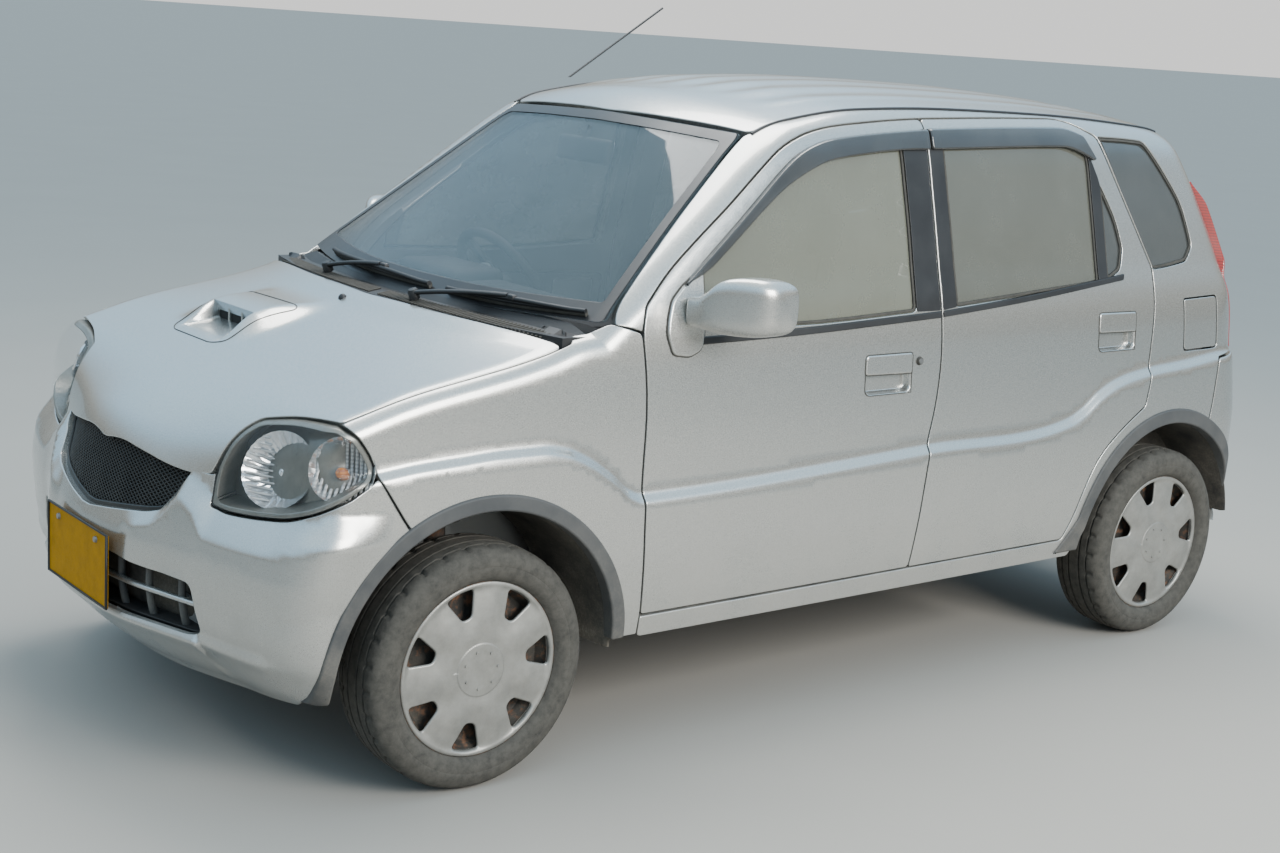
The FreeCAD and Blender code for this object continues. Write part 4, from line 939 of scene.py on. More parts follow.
def mirrorData(data):
    verts, faces, normals, kinds = data
    flip = np.array([1, -1, 1])
    turnedFaces = []
    turnedNormals = []
    k = 0
    for face in faces:
        n = len(face)
        turnedFaces.append(tuple(face)[::-1])
        turnedNormals += list((normals[k:k + n] * flip)[::-1])
        k += n
    return verts * flip, turnedFaces, np.array(turnedNormals), kinds


def finishPiece(item, body, replaced=()):
    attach(item, body)
    if replaced:
        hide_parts(*replaced)
    return item


def makePanel(name, data, body, materials, replaced=()):
    item = makeObject(name, data[0], data[1], data[2], materials, data[3])
    return finishPiece(item, body, replaced)


def makePair(name, data, bodies, materials, replaced=((), ())):
    # The left piece and its mirror image
    makePanel(name + "_left", data, bodies[0], materials, replaced[0])
    makePanel(name + "_right", mirrorData(data), bodies[1], materials, replaced[1])


def bothSides(points):
    # A left-hand run of skin points carried across the middle of the car, back to front
    flipped = points[::-1] * np.array([1, -1, 1])
    return np.vstack([points, flipped])


def joined(*runs):
    return np.vstack([np.asarray(r, float) for r in runs])


def arcPoints(centre, radius, start, end, steps=40):
    # In side view, angles from the front, upwards
    angles = np.radians(np.linspace(start, end, steps))
    return [(centre[0] + radius * math.cos(a), centre[1] + radius * math.sin(a)) for a in angles]


creaseGuides = []
for shift in (-12, -8, -4, -1, 2, 5, 9, 14):
    xs = np.arange(-1.60, 1.40, 0.009)
    uv = np.column_stack([xs, curves["crease"](xs) + shift / 1000.0])
    origin, direction = sideRays(uv)
    creaseGuides.append(origin + direction * shootOut(origin, direction)[:, None])

# Outlines in side view (x, z), millimetres
frontDoorLine = [
    (653, 340), (667, 624), (656, 829), (671, 992), (655, 1048), (578, 1122), (479, 1196),
    (378, 1268), (274, 1348), (203, 1399), (124, 1430), (51, 1446), (-22, 1455), (-169, 1467),
    (-297, 1474), (-297, 1218), (-297, 985), (-298, 866), (-284, 748), (-258, 650),
    (-225, 340),
]
rearDoorLine = [
    (-225, 340), (-258, 650), (-284, 748), (-298, 866), (-297, 985), (-297, 1218),
    (-297, 1474), (-600, 1482), (-878, 1484), (-982, 1440), (-1085, 1250), (-1177, 1084),
    (-1181, 976), (-1170, 880), (-1163, 801), (-1141, 698), (-1040, 640), (-953, 571),
    (-905, 490), (-870, 400), (-835, 340),
]
frontWindowLine = [
    (556, 1000), (556, 1062), (548, 1082), (486, 1133), (350, 1236), (209, 1347), (151, 1385),
    (78, 1410), (-9, 1421), (-156, 1434), (-203, 1437), (-207, 1200), (-203, 1003), (180, 985),
]
rearWindowLine = [
    (-355, 1010), (-352, 1446), (-600, 1455), (-847, 1458), (-912, 1438), (-934, 1380),
    (-934, 1050), (-600, 1027),
]
rearVentLine = [
    (-974, 1056), (-974, 1312), (-1030, 1218), (-1050, 1137), (-1033, 1082),
]
quarterLine = [
    (-991, 1437), (-1110, 1434), (-1191, 1428), (-1265, 1350), (-1339, 1260), (-1366, 1170),
    (-1372, 1137), (-1340, 1099), (-1250, 1086), (-1182, 1081), (-1120, 1190), (-1050, 1318),
]
fuelLidLine = [(-1318, 992), (-1476, 997), (-1484, 846), (-1325, 843)]
archCentres = {"front": (1085, 280), "rear": (-1277, 280)}


def sideRun(points, radius=14.0):
    return onSkin("side", points, radius)


def makeFenders():
    arch = archCentres["front"]
    outline = joined(
        sideRun([(655, 290)] + frontDoorLine[:4] + [(715, 1006), (748, 1013)]),
        onSkin("top", [(800, 662), (878, 667), (1100, 667), (1300, 667), (1412, 664)]),
        sideRun([(1419, 838), (1395, 816), (1368, 778), (1355, 746), (1352, 728), (1327, 689),
                 (1296, 640)] + arcPoints(arch, 384, 60, 178) + [(700, 290)]))
    data = shellData(outline, "round", 0.014, guides=creaseGuides, step=0.016)
    makePair("front_fender_skin", data, ("body", "body"), (paintSilver, trimBlack),
             (("front_fenders",), ()))


# Door handles: the pocket's box in side view, millimetres, and how deep it goes
doorHandles = {
    "front": {"x": (-188, -26), "z": (800, 902), "depth": 19.0, "split": 851},
    "rear": {"x": (-1091, -931), "z": (859, 966), "depth": 19.0, "split": 912},
}


def handleDish(values):
    # Depth of the pocket behind a handle, soft at its edges
    def depth(p):
        x = p[:, 0] * 1000
        z = p[:, 2] * 1000
        middle = (np.mean(values["x"]), np.mean(values["z"]))
        reach = (np.ptp(values["x"]) / 2 - 22, np.ptp(values["z"]) / 2 - 22)
        away = np.hypot(np.maximum(np.abs(x - middle[0]) - reach[0], 0),
                        np.maximum(np.abs(z - middle[1]) - reach[1], 0))
        return -values["depth"] / 1000 * softStep(-away, -22, -13)
    return depth


def handleGuides(values):
    rows = []
    for z in np.arange(values["z"][0] - 4, values["z"][1] + 5, 4.0):
        xs = np.arange(values["x"][0] - 4, values["x"][1] + 5, 4.0)
        uv = np.column_stack([xs, np.full(len(xs), z)]) / 1000
        origin, direction = sideRays(uv)
        rows.append(origin + direction * shootOut(origin, direction)[:, None])
    return rows


def makeDoors():
    bodies = ("front_door_left", "front_door_right")
    data = shellData(sideRun(frontDoorLine + frontDoorLine[:1])[:-1], "side", 0.045,
                     [sideRun(frontWindowLine + frontWindowLine[:1])[:-1]],
                     guides=creaseGuides + handleGuides(doorHandles["front"]),
                     dish=handleDish(doorHandles["front"]))
    makePair("front_door_skin", data, bodies, (paintSilver, paintInside),
             (("front_door_left",), ("front_door_right",)))
    bodies = ("rear_door_left", "rear_door_right")
    data = shellData(sideRun(rearDoorLine + rearDoorLine[:1])[:-1], "side", 0.045,
                     [sideRun(rearWindowLine + rearWindowLine[:1])[:-1],
                      sideRun(rearVentLine + rearVentLine[:1])[:-1]],
                     guides=creaseGuides + handleGuides(doorHandles["rear"]),
                     dish=handleDish(doorHandles["rear"]))
    makePair("rear_door_skin", data, bodies, (paintSilver, paintInside),
             (("rear_door_left",), ("rear_door_right",)))


def makeBodySides():
    arch = archCentres["rear"]
    outline = joined(
        onSkin("front", [(668, 1012), (640, 1050), (560, 1222), (486, 1418)]),
        onSkin("top", [(226, 497), (100, 501), (-300, 503), (-1000, 501), (-1345, 490)]),
        onSkin("back", [(487, 1475), (497, 1375), (508, 1330)]),
        sideRun([(-1421, 1325), (-1560, 1064), (-1576, 828), (-1480, 817), (-1464, 682),
                 (-1452, 622)] + arcPoints(arch, 384, 117, 4) + [(-880, 283), (655, 283),
                 (655, 338)]),
        sideRun([(-225, 340), (-835, 340), (-870, 400),
                (-905, 490), (-953, 571), (-1040, 640), (-1141, 698), (-1163, 801),
                (-1170, 880), (-1181, 976), (-1177, 1084), (-1085, 1250), (-982, 1440),
                (-878, 1484), (-600, 1482), (-297, 1474), (-169, 1467), (-22, 1455),
                (51, 1446), (124, 1430), (203, 1399), (274, 1348), (378, 1268), (479, 1196),
                (578, 1122), (655, 1048), (671, 992)]),
        sideRun([(700, 1001), (735, 1008)]))
    holes = [sideRun(quarterLine + quarterLine[:1])[:-1],
             sideRun(fuelLidLine + fuelLidLine[:1])[:-1]]
    data = shellData(outline, "round", 0.016, holes, guides=creaseGuides, step=0.016)
    makePair("body_side_skin", data, ("body", "body"), (paintSilver, paintInside),
             (("body_side_left",), ("body_side_right",)))


# Bonnet scoop on the car's right, millimetres
scoop = {
    "middle": -201.0,
    "half": 105.0,
    "mouth": 1214.0,
    "front": 1332.0,
    "rear": 1022.0,
    "spread": 84.0,
    "rise": 33.0,
    "sink": 14.0,
}


def scoopDish(p):
    x = p[:, 0] * 1000
    y = np.abs(p[:, 1] * 1000 - scoop["middle"])
    hump = softStep(x, scoop["rear"], scoop["mouth"] - 20) * (x < scoop["mouth"])
    hump = hump * softStep(-y, -scoop["half"] - scoop["spread"], -scoop["half"] + 4)
    ramp = softStep(-x, -scoop["front"], -scoop["mouth"] - 18) * (x >= scoop["mouth"])
    ramp = ramp * softStep(-y, -scoop["half"] + 1, -scoop["half"] + 9)
    cheek = softStep(-x, -scoop["front"] + 10, -scoop["mouth"] + 6) * (x >= scoop["mouth"])
    cheek = cheek * softStep(-y, -scoop["half"] - scoop["spread"], -scoop["half"] + 4) * softStep(
        y, scoop["half"] - 8, scoop["half"] + 2)
    return (scoop["rise"] * (hump + cheek) - scoop["sink"] * ramp) / 1000


def scoopGuides():
    rows = []
    xs = np.concatenate([np.arange(scoop["rear"] - 6, scoop["mouth"] - 9, 7.0),
                         np.arange(scoop["mouth"] - 9, scoop["mouth"] + 10, 2.0),
                         np.arange(scoop["mouth"] + 12, scoop["front"] + 8, 7.0)])
    near = np.array([-9, -6, -3, 0, 3, 6, 9])
    ys = np.concatenate([scoop["middle"] - scoop["half"] + near, scoop["middle"]
                         + scoop["half"] + near, np.arange(-90, 91, 12) + scoop["middle"],
                         scoop["middle"] - scoop["half"] - np.arange(18, 90, 12),
                         scoop["middle"] + scoop["half"] + np.arange(18, 90, 12)])
    for y in np.sort(ys):
        uv = np.column_stack([xs, np.full(len(xs), y)]) / 1000
        origin, direction = topRays(uv)
        rows.append(origin + direction * shootOut(origin, direction)[:, None])
    return rows


def makeBonnet():
    half = [(1637, 0), (1623, 150), (1609, 233), (1583, 333), (1563, 394), (1535, 411),
            (1508, 426), (1480, 446), (1443, 540), (1418, 664), (1300, 668), (1100, 668),
            (878, 668), (918, 500), (952, 320), (976, 0)]
    outline = bothSides(onSkin("top", half, 12.0))
    data = shellData(outline, "hood", 0.016, step=0.018, guides=scoopGuides(), dish=scoopDish)
    makePanel("bonnet_skin", data, "bonnet", (paintSilver, paintInside), ("bonnet",))


def makeRoof():
    half = [(286, 0), (270, 250), (234, 480), (222, 496), (100, 497), (-300, 499),
            (-1000, 497), (-1345, 487), (-1349, 250), (-1350, 0)]
    outline = bothSides(onSkin("top", half, 12.0))
    data = shellData(outline, "top", 0.020, step=0.018)
    makePanel("roof_skin", data, "body", (paintSilver, headlining), ("roof_panel",))


def makeTailgate():
    outline = bothSides(joined(
        onSkin("top", [(-1352, 0), (-1352, 250), (-1349, 484)]),
        onSkin("back", [(486, 1470), (494, 1375), (562, 985), (562, 651), (250, 651), (0, 651)],
               24.0)))
    hole = bothSides(onSkin("back", [(0, 1392), (300, 1390), (430, 1380), (470, 1200),
                                     (505, 1020), (300, 1012), (0, 1010)], 30.0))
    data = shellData(outline, "gate", 0.05, [hole], step=0.018)
    makePanel("tailgate_skin", data, "tailgate", (paintSilver, paintInside),
              ("tailgate",))
    pane = shellData(hole, "gate", 0.004, lift=-0.003, gap=-0.004, step=0.03)
    makePanel("tailgate_pane", pane, "tailgate", (rearGlass, rearGlass),
              ("tailgate_glass",))


# Forms on the front bumper, millimetres: height of the ledge over the width, and its swell
bumperForm = {
    "top": makeCurve([(0, 541), (240, 578), (276, 591), (300, 620), (332, 672), (372, 662),
                      (430, 624), (600, 628), (700, 655)]),
    "width": makeCurve([(0, 26), (276, 30), (340, 46), (430, 62), (700, 62)]),
    "swell": 17.0,
    "sink": 9.0,
    "ridge": 5.0,
    "lipTop": 352.0,
    "lipEdge": 327.0,
    "lip": 19.0,
}


def softMin(a, b, reach):
    return -smoothMax(-a, -b, reach)


def bumperDish(p):
    x, y, z = p[:, 0], np.abs(p[:, 1]), p[:, 2]
    top = bumperForm["top"](y)
    width = bumperForm["width"](y)
    sink = bumperForm["sink"] * softStep(y, 0.36, 0.44)
    below = (top - z) / width
    rising = np.clip(below, 0, 3) * (bumperForm["swell"] + sink) - sink
    falling = bumperForm["swell"] * (1 - np.clip(top - width - z, 0, 0.15) / 0.15)
    ledge = softMin(rising, falling, bumperForm["ridge"])
    ledge = ledge * softStep(x, 1.29, 1.42) * (0.1 + 0.9 * softStep(y, 0.165, 0.23))
    lipHigh, lipLow = bumperForm["lipTop"] / 1000, bumperForm["lipEdge"] / 1000
    rising = np.clip((lipHigh - z) / (lipHigh - lipLow), 0, 3) * bumperForm["lip"]
    falling = bumperForm["lip"] * (1 - np.clip(lipLow - z, 0, 0.10) / 0.10)
    lip = softMin(rising, falling, 4.0)
    lip = lip * (1 - 0.5 * softStep(y, 0.408, 0.420)) * (1 - softStep(y, 0.58, 0.69))
    lip = lip * softStep(x, 1.38, 1.50)
    return (ledge + lip) / 1000


def bumperGuides():
    rows = []
    ys = np.arange(-0.62, 0.621, 0.012)
    for share in (0.0, 0.3, 0.6, 0.85, 0.93, 1.0, 1.07, 1.15, 1.4):
        z = bumperForm["top"](np.abs(ys)) - bumperForm["width"](np.abs(ys)) * share
        rows.append(np.column_stack([ys, z]))
    for z in (358, 352, 346, 338, 332, 329, 326, 323, 319, 311):
        rows.append(np.column_stack([ys, np.full(len(ys), z / 1000)]))
    made = []
    for uv in rows:
        origin, direction = frontRays(uv)
        made.append(origin + direction * shootOut(origin, direction)[:, None])
    return made


def makeBumpers():
    lowerHole = bothSides(onSkin("front", [(0, 470), (399, 452), (425, 352), (390, 342),
                                           (0, 338)], 16.0))
    arch = archCentres["front"]
    half = joined(
        onSkin("front", [(0, 541), (240, 577), (277, 589), (318, 655), (332, 688), (390, 686),
                         (400, 692), (408, 622), (451, 616), (535, 622), (633, 635),
                         (690, 660)], 8.0),
        sideRun([(1422, 690), (1372, 719), (1353, 732), (1327, 689), (1296, 640)]
                + arcPoints(arch, 384, 60, -6) + [(1466, 240)]),
        onSkin("front", [(600, 222), (471, 200), (300, 192), (0, 192)]))
    data = shellData(bothSides(half), "nose", 0.014, [lowerHole],
                     guides=creaseGuides + bumperGuides(), dish=bumperDish, step=0.018)
    makePanel("front_bumper_skin", data, "body", (paintSilver, trimBlack),
              ("front_bumper",))
    arch = archCentres["rear"]
    half = joined(
        onSkin("back", [(0, 648), (560, 648), (566, 660), (567, 826)]),
        onSkin("back", [(600, 828), (640, 829)]),
        sideRun([(-1576, 826), (-1480, 816), (-1464, 682), (-1452, 622)]
                + arcPoints(arch, 384, 117, 170) + [(-1590, 300)]),
        onSkin("back", [(600, 290), (300, 288), (0, 288)]))
    data = shellData(bothSides(half), "rear", 0.014, step=0.018, guides=creaseGuides)
    makePanel("rear_bumper_skin", data, "body", (paintSilver, trimBlack),
              ("rear_bumper",))


def makePanes():
    half = onSkin("front", [(0, 1000), (300, 1000), (655, 1010), (640, 1040), (558, 1220),
                            (484, 1408), (470, 1424), (250, 1434), (0, 1440)], 20.0)
    data = shellData(bothSides(half), "front", 0.005, lift=-0.001, gap=0.002, step=0.04)
    makePanel("windscreen_pane", data, "body", (screenGlass, screenGlass),
              ("windscreen",))
    panes = (("front_pane", frontWindowLine, sideGlass, ("front_glass_left",
                                                         "front_glass_right"), "front_door"),
             ("rear_pane", rearWindowLine, rearDoorGlass, ("rear_glass_left",
                                                       "rear_glass_right"), "rear_door"),
             ("rear_vent_pane", rearVentLine, rearGlass, None, "rear_door"),
             ("quarter_pane", quarterLine, rearGlass, None, None))
    for name, line, material, replaced, door in panes:
        ring = sideRun(line + line[:1])[:-1]
        data = shellData(ring, "side", 0.004, lift=-0.006, gap=-0.004, step=0.04)
        bodies = (door + "_left", door + "_right") if door else ("body", "body")
        stands = ((replaced[0],), (replaced[1],)) if replaced else ((), ())
        if name == "quarter_pane":
            stands = (("quarter_glass",), ())
        makePair(name, data, bodies, (material, material), stands)
        seal = shellData(ring, "side", 0.012, [drawnRing(ring, 0.007)], lift=-0.001,
                         edge=0.0015, gap=0.0003, step=0.03)
        makePair(name + "_seal", seal, bodies, (sealRubber, sealRubber))


def drawnRing(points, distance):
    # A closed line on the side of the car moved inwards
    flat = points[:, [0, 2]]
    ring = flat if turnedArea(flat) > 0 else flat[::-1]
    small = drawIn(ring, distance)
    origin, direction = sideRays(small)
    return origin + direction * shootOut(origin, direction)[:, None]


makeFenders()
makeDoors()
makeBodySides()
makeBonnet()
makeRoof()
makeTailgate()
makeBumpers()
makePanes()
print("stage: painted panels and glass made")


def newShapeTree(name, radius, heightLabel, height, sides):
    # A tree that takes points or edges with a radius, a height, sides and a finish
    tree = bpy.data.node_groups.new(name, "GeometryNodeTree")
    rows = (("Geometry", "INPUT", "Geometry", None), ("Radius", "INPUT", "Float", radius),
            (heightLabel, "INPUT", "Float", height), ("Sides", "INPUT", "Int", sides),
            ("Finish", "INPUT", "Material", None), ("Geometry", "OUTPUT", "Geometry", None))
    for label, way, kind, value in rows:
        socket = tree.interface.new_socket(name=label, in_out=way,
                                           socket_type="NodeSocket" + kind)
        if value is not None:
            socket.default_value = value
    given = tree.nodes.new("NodeGroupInput").outputs
    out = tree.nodes.new("NodeGroupOutput").inputs
    return tree, given, out


def finishShapeTree(tree, geometry, given, out):
    whole = addNode(tree, "GeometryNodeRealizeInstances", {"Geometry": geometry})
    painted = addNode(tree, "GeometryNodeSetMaterial", {
        "Geometry": whole.outputs["Geometry"], "Material": given["Finish"]})
    tree.links.new(painted.outputs["Geometry"], out["Geometry"])
    return tree


def makeSweepTree():
    # Carries a round or flattened section along the edges it is given
    tree, given, out = newShapeTree("sweep along", 0.004, "Height Share", 1.0, 8)
    path = addNode(tree, "GeometryNodeMeshToCurve", {"Mesh": given["Geometry"]})
    ring = addNode(tree, "GeometryNodeCurvePrimitiveCircle", {
        "Resolution": given["Sides"], "Radius": given["Radius"]})
    share = addNode(tree, "ShaderNodeCombineXYZ", {"X": 1.0, "Y": given["Height Share"],
                                                   "Z": 1.0})
    flat = addNode(tree, "GeometryNodeTransform", {
        "Geometry": ring.outputs["Curve"], "Scale": share.outputs[0]})
    swept = addNode(tree, "GeometryNodeCurveToMesh", {
        "Curve": path.outputs["Curve"], "Profile Curve": flat.outputs["Geometry"],
        "Fill Caps": True})
    smooth = addNode(tree, "GeometryNodeSetShadeSmooth", {"Geometry": swept.outputs["Mesh"]})
    return finishShapeTree(tree, smooth.outputs["Geometry"], given, out)


def makeStudTree():
    # Puts a small domed stud on each point, square to the "facing" direction kept there
    tree, given, out = newShapeTree("studs on points", 0.006, "Height", 0.004, 12)
    top = doMath(tree, "MULTIPLY", given["Radius"], 0.78)
    stud = addNode(tree, "GeometryNodeMeshCone", {
        "Vertices": given["Sides"], "Radius Top": top, "Radius Bottom": given["Radius"],
        "Depth": given["Height"]})
    facing = addNode(tree, "GeometryNodeInputNamedAttribute", {"Name": "facing"},
                     data_type="FLOAT_VECTOR")
    turn = addNode(tree, "FunctionNodeAlignRotationToVector", {
        "Vector": facing.outputs["Attribute"]}, axis="Z")
    placed = addNode(tree, "GeometryNodeInstanceOnPoints", {
        "Points": given["Geometry"], "Instance": stud.outputs["Mesh"],
        "Rotation": turn.outputs["Rotation"]})
    return finishShapeTree(tree, placed.outputs["Instances"], given, out)


def growTree(item, tree, **values):
    # Runs the tree on the object and keeps the plain mesh it gives
    modifier = item.modifiers.new("grow", "NODES")
    modifier.node_group = tree
    for socket in tree.interface.items_tree:
        label = socket.name.replace(" ", "")
        if socket.in_out == "INPUT" and label in values:
            modifier[socket.identifier] = values[label]
    graph = bpy.context.evaluated_depsgraph_get()
    graph.update()
    made = bpy.data.meshes.new_from_object(item.evaluated_get(graph))
    item.modifiers.remove(modifier)
    old = item.data
    item.data = made
    bpy.data.meshes.remove(old)
    return item


sweepTree = makeSweepTree()
studTree = makeStudTree()


def sweepPaths(name, paths, radius, material, body, share=1.0, sides=8,
               closed=False, replaced=()):
    verts = []
    edges = []
    for path in paths:
        start = len(verts)
        verts += [tuple(p) for p in path]
        edges += [(start + i, start + i + 1) for i in range(len(path) - 1)]
        if closed:
            edges.append((start + len(path) - 1, start))
    mesh = bpy.data.meshes.new(name)
    mesh.from_pydata(verts, edges, [])
    item = bpy.data.objects.new(name, mesh)
    bpy.context.scene.collection.objects.link(item)
    growTree(item, sweepTree, Radius=radius, HeightShare=share, Sides=sides, Finish=material)
    return finishPiece(item, body, replaced)


def putStuds(name, points, facings, radius, height, material, body, sides=12):
    mesh = bpy.data.meshes.new(name)
    mesh.from_pydata([tuple(p) for p in points], [], [])
    kept = mesh.attributes.new("facing", "FLOAT_VECTOR", "POINT")
    kept.data.foreach_set("vector", np.asarray(facings, np.float32).ravel())
    item = bpy.data.objects.new(name, mesh)
    bpy.context.scene.collection.objects.link(item)
    growTree(item, studTree, Radius=radius, Height=height, Sides=sides, Finish=material)
    return finishPiece(item, body)


def cleanMesh(maker):
    bmesh.ops.remove_doubles(maker, verts=maker.verts, dist=0.00005)
    bmesh.ops.recalc_face_normals(maker, faces=maker.faces)


def fromMaker(name, maker, material, body, replaced=(), smooth=True, angle=40):
    cleanMesh(maker)
    mesh = bpy.data.meshes.new(name)
    for face in maker.faces:
        face.smooth = smooth
    for edge in maker.edges:
        if len(edge.link_faces) == 2 and edge.calc_face_angle(0) > math.radians(angle):
            edge.smooth = False
    maker.to_mesh(mesh)
    maker.free()
    for one in (material if isinstance(material, (list, tuple)) else [material]):
        mesh.materials.append(one)
    item = bpy.data.objects.new(name, mesh)
    bpy.context.scene.collection.objects.link(item)
    return finishPiece(item, body, replaced)


def addBlock(maker, low, high, bevel=0.0, segments=3, turn=None):
    # A bevelled block between two corners, turned about its middle
    low = Vector(low)
    high = Vector(high)
    made = bmesh.ops.create_cube(maker, size=1.0)
    verts = made["verts"]
    size = high - low
    for vert in verts:
        vert.co = Vector((vert.co.x * size.x, vert.co.y * size.y, vert.co.z * size.z))
    if bevel:
        edges = list({edge for vert in verts for edge in vert.link_edges})
        grown = bmesh.ops.bevel(maker, geom=edges, offset=min(bevel, min(size) * 0.48),
                                segments=segments, profile=0.5, affect="EDGES")
        verts = list({v for v in verts if v.is_valid} | set(grown["verts"]))
    matrix = Matrix.Translation((low + high) / 2)
    if turn is not None:
        matrix = matrix @ turn
    for vert in verts:
        vert.co = matrix @ vert.co
    return verts


def addLathe(maker, profile, centre, axis, segments=48, closed=True, slot=0):
    # Profile rows are (distance along the axis, radius)
    axis = Vector(axis).normalized()
    other = Vector((0, 0, 1)) if abs(axis.z) < 0.9 else Vector((1, 0, 0))
    side = axis.cross(other).normalized()
    up = side.cross(axis).normalized()
    centre = Vector(centre)
    rings = []
    for along, radius in profile:
        ring = []
        for k in range(segments):
            a = 2 * math.pi * k / segments
            ring.append(maker.verts.new(centre + axis * along
                                        + (side * math.cos(a) + up * math.sin(a)) * radius))
        rings.append(ring)
    pairs = list(zip(rings, rings[1:] + rings[:1])) if closed else list(zip(rings, rings[1:]))
    for first, second in pairs:
        for k in range(segments):
            j = (k + 1) % segments
            face = maker.faces.new((first[k], first[j], second[j], second[k]))
            face.material_index = slot
    return rings



def strip(name, top, bottom, lift, depth, material, bodies, edge=0.003, radius=4.0,
          gap=0.0, replaced=((), ())):
    # A thin strip on the side between two lines in side view
    ring = sideRun(list(top) + list(reversed(bottom)) + [top[0]], radius)[:-1]
    data = shellData(ring, "side", depth, lift=lift, edge=edge, gap=gap, step=0.02)
    makePair(name, data, bodies, (material, material), replaced)


def makeTrim():
    front = archCentres["front"]
    rear = archCentres["rear"]
    both = ("body", "body")
    strip("front_arch_trim", arcPoints(front, 391, -5, 178.5, 60),
          arcPoints(front, 354, -5, 178.5, 60), 0.006, 0.034, trimGrey, both,
          0.006, 8.0, 0.0, (("arch_trims",), ()))
    strip("rear_arch_trim",
          [(-812, 300), (-846, 338)] + arcPoints(rear, 400, 17, 168, 56),
          [(-912, 300), (-916, 338)] + arcPoints(rear, 357, 13, 168, 56), 0.006, 0.034,
          trimGrey, both, 0.006, 8.0)
    doors = ("front_door_left", "front_door_right")
    rearDoors = ("rear_door_left", "rear_door_right")
    strip("front_belt", [(512, 975), (180, 981), (-293, 1001)],
          [(512, 957), (180, 963), (-293, 984)], 0.005, 0.009, trimBlack, doors)
    strip("rear_belt", [(-301, 1001), (-640, 1027), (-1046, 1071)],
          [(-301, 985), (-640, 1011), (-1040, 1054)], 0.005, 0.009, trimBlack, rearDoors)
    strip("front_sash", [(-205, 1002), (-209, 1210), (-205, 1440)],
          [(-292, 1002), (-292, 1210), (-292, 1450)], 0.0012, 0.003, sashBlack, doors,
          0.001)
    strip("rear_sash", [(-302, 1002), (-302, 1210), (-302, 1450)],
          [(-353, 1008), (-351, 1210), (-350, 1450)], 0.0012, 0.003, sashBlack, rearDoors,
          0.001)
    strip("rear_divider", [(-935, 1052), (-934, 1380), (-925, 1420)],
          [(-974, 1056), (-974, 1312), (-968, 1330)], 0.0012, 0.003, sashBlack, rearDoors,
          0.001)
    strip("front_visor",
          [(549, 1090), (486, 1137), (350, 1240), (209, 1351), (151, 1389), (78, 1416),
           (-9, 1428), (-156, 1441), (-300, 1450)],
          [(473, 1119), (388, 1181), (284, 1258), (214, 1305), (151, 1336), (73, 1367),
           (3, 1379), (-140, 1394), (-236, 1399), (-300, 1399)], 0.012, 0.011, visorSmoke,
          doors, 0.005, 10.0)
    strip("rear_visor",
          [(-306, 1451), (-600, 1461), (-847, 1464), (-915, 1444), (-961, 1382)],
          [(-306, 1400), (-600, 1408), (-726, 1411), (-841, 1412), (-894, 1400),
           (-950, 1376)], 0.012, 0.011, visorSmoke, rearDoors, 0.005, 10.0)
    ditch = onSkin("top", [(232, 503), (120, 503), (-300, 503), (-1000, 502), (-1340, 492)])
    for sign, label in ((1, "left"), (-1, "right")):
        sweepPaths("roof_moulding_" + label, [ditch * np.array([1, sign, 1])], 0.0045,
                   trimBlack, "body", sides=8)
    # fuel lid
    lid = shellData(sideRun(fuelLidLine + fuelLidLine[:1], 16.0)[:-1], "side", 0.008,
                    step=0.02)
    makePanel("fuel_lid_skin", lid, "fuel_lid", (paintSilver, paintInside),
              ("fuel_lid",))
    # dark band along the windscreen's edge
    half = onSkin("front", [(0, 1000), (300, 1000), (655, 1010), (640, 1040), (558, 1220),
                            (484, 1408), (470, 1424), (250, 1434), (0, 1440)], 20.0)
    inner = onSkin("front", [(0, 1042), (300, 1043), (604, 1052), (596, 1066), (528, 1220),
                             (462, 1384), (446, 1398), (250, 1408), (0, 1413)], 26.0)
    band = shellData(bothSides(half), "front", 0.004, [bothSides(inner)], lift=0.0004,
                     edge=0.001, gap=0.003, step=0.05)
    makePanel("windscreen_band", band, "body", (sashBlack, sashBlack))


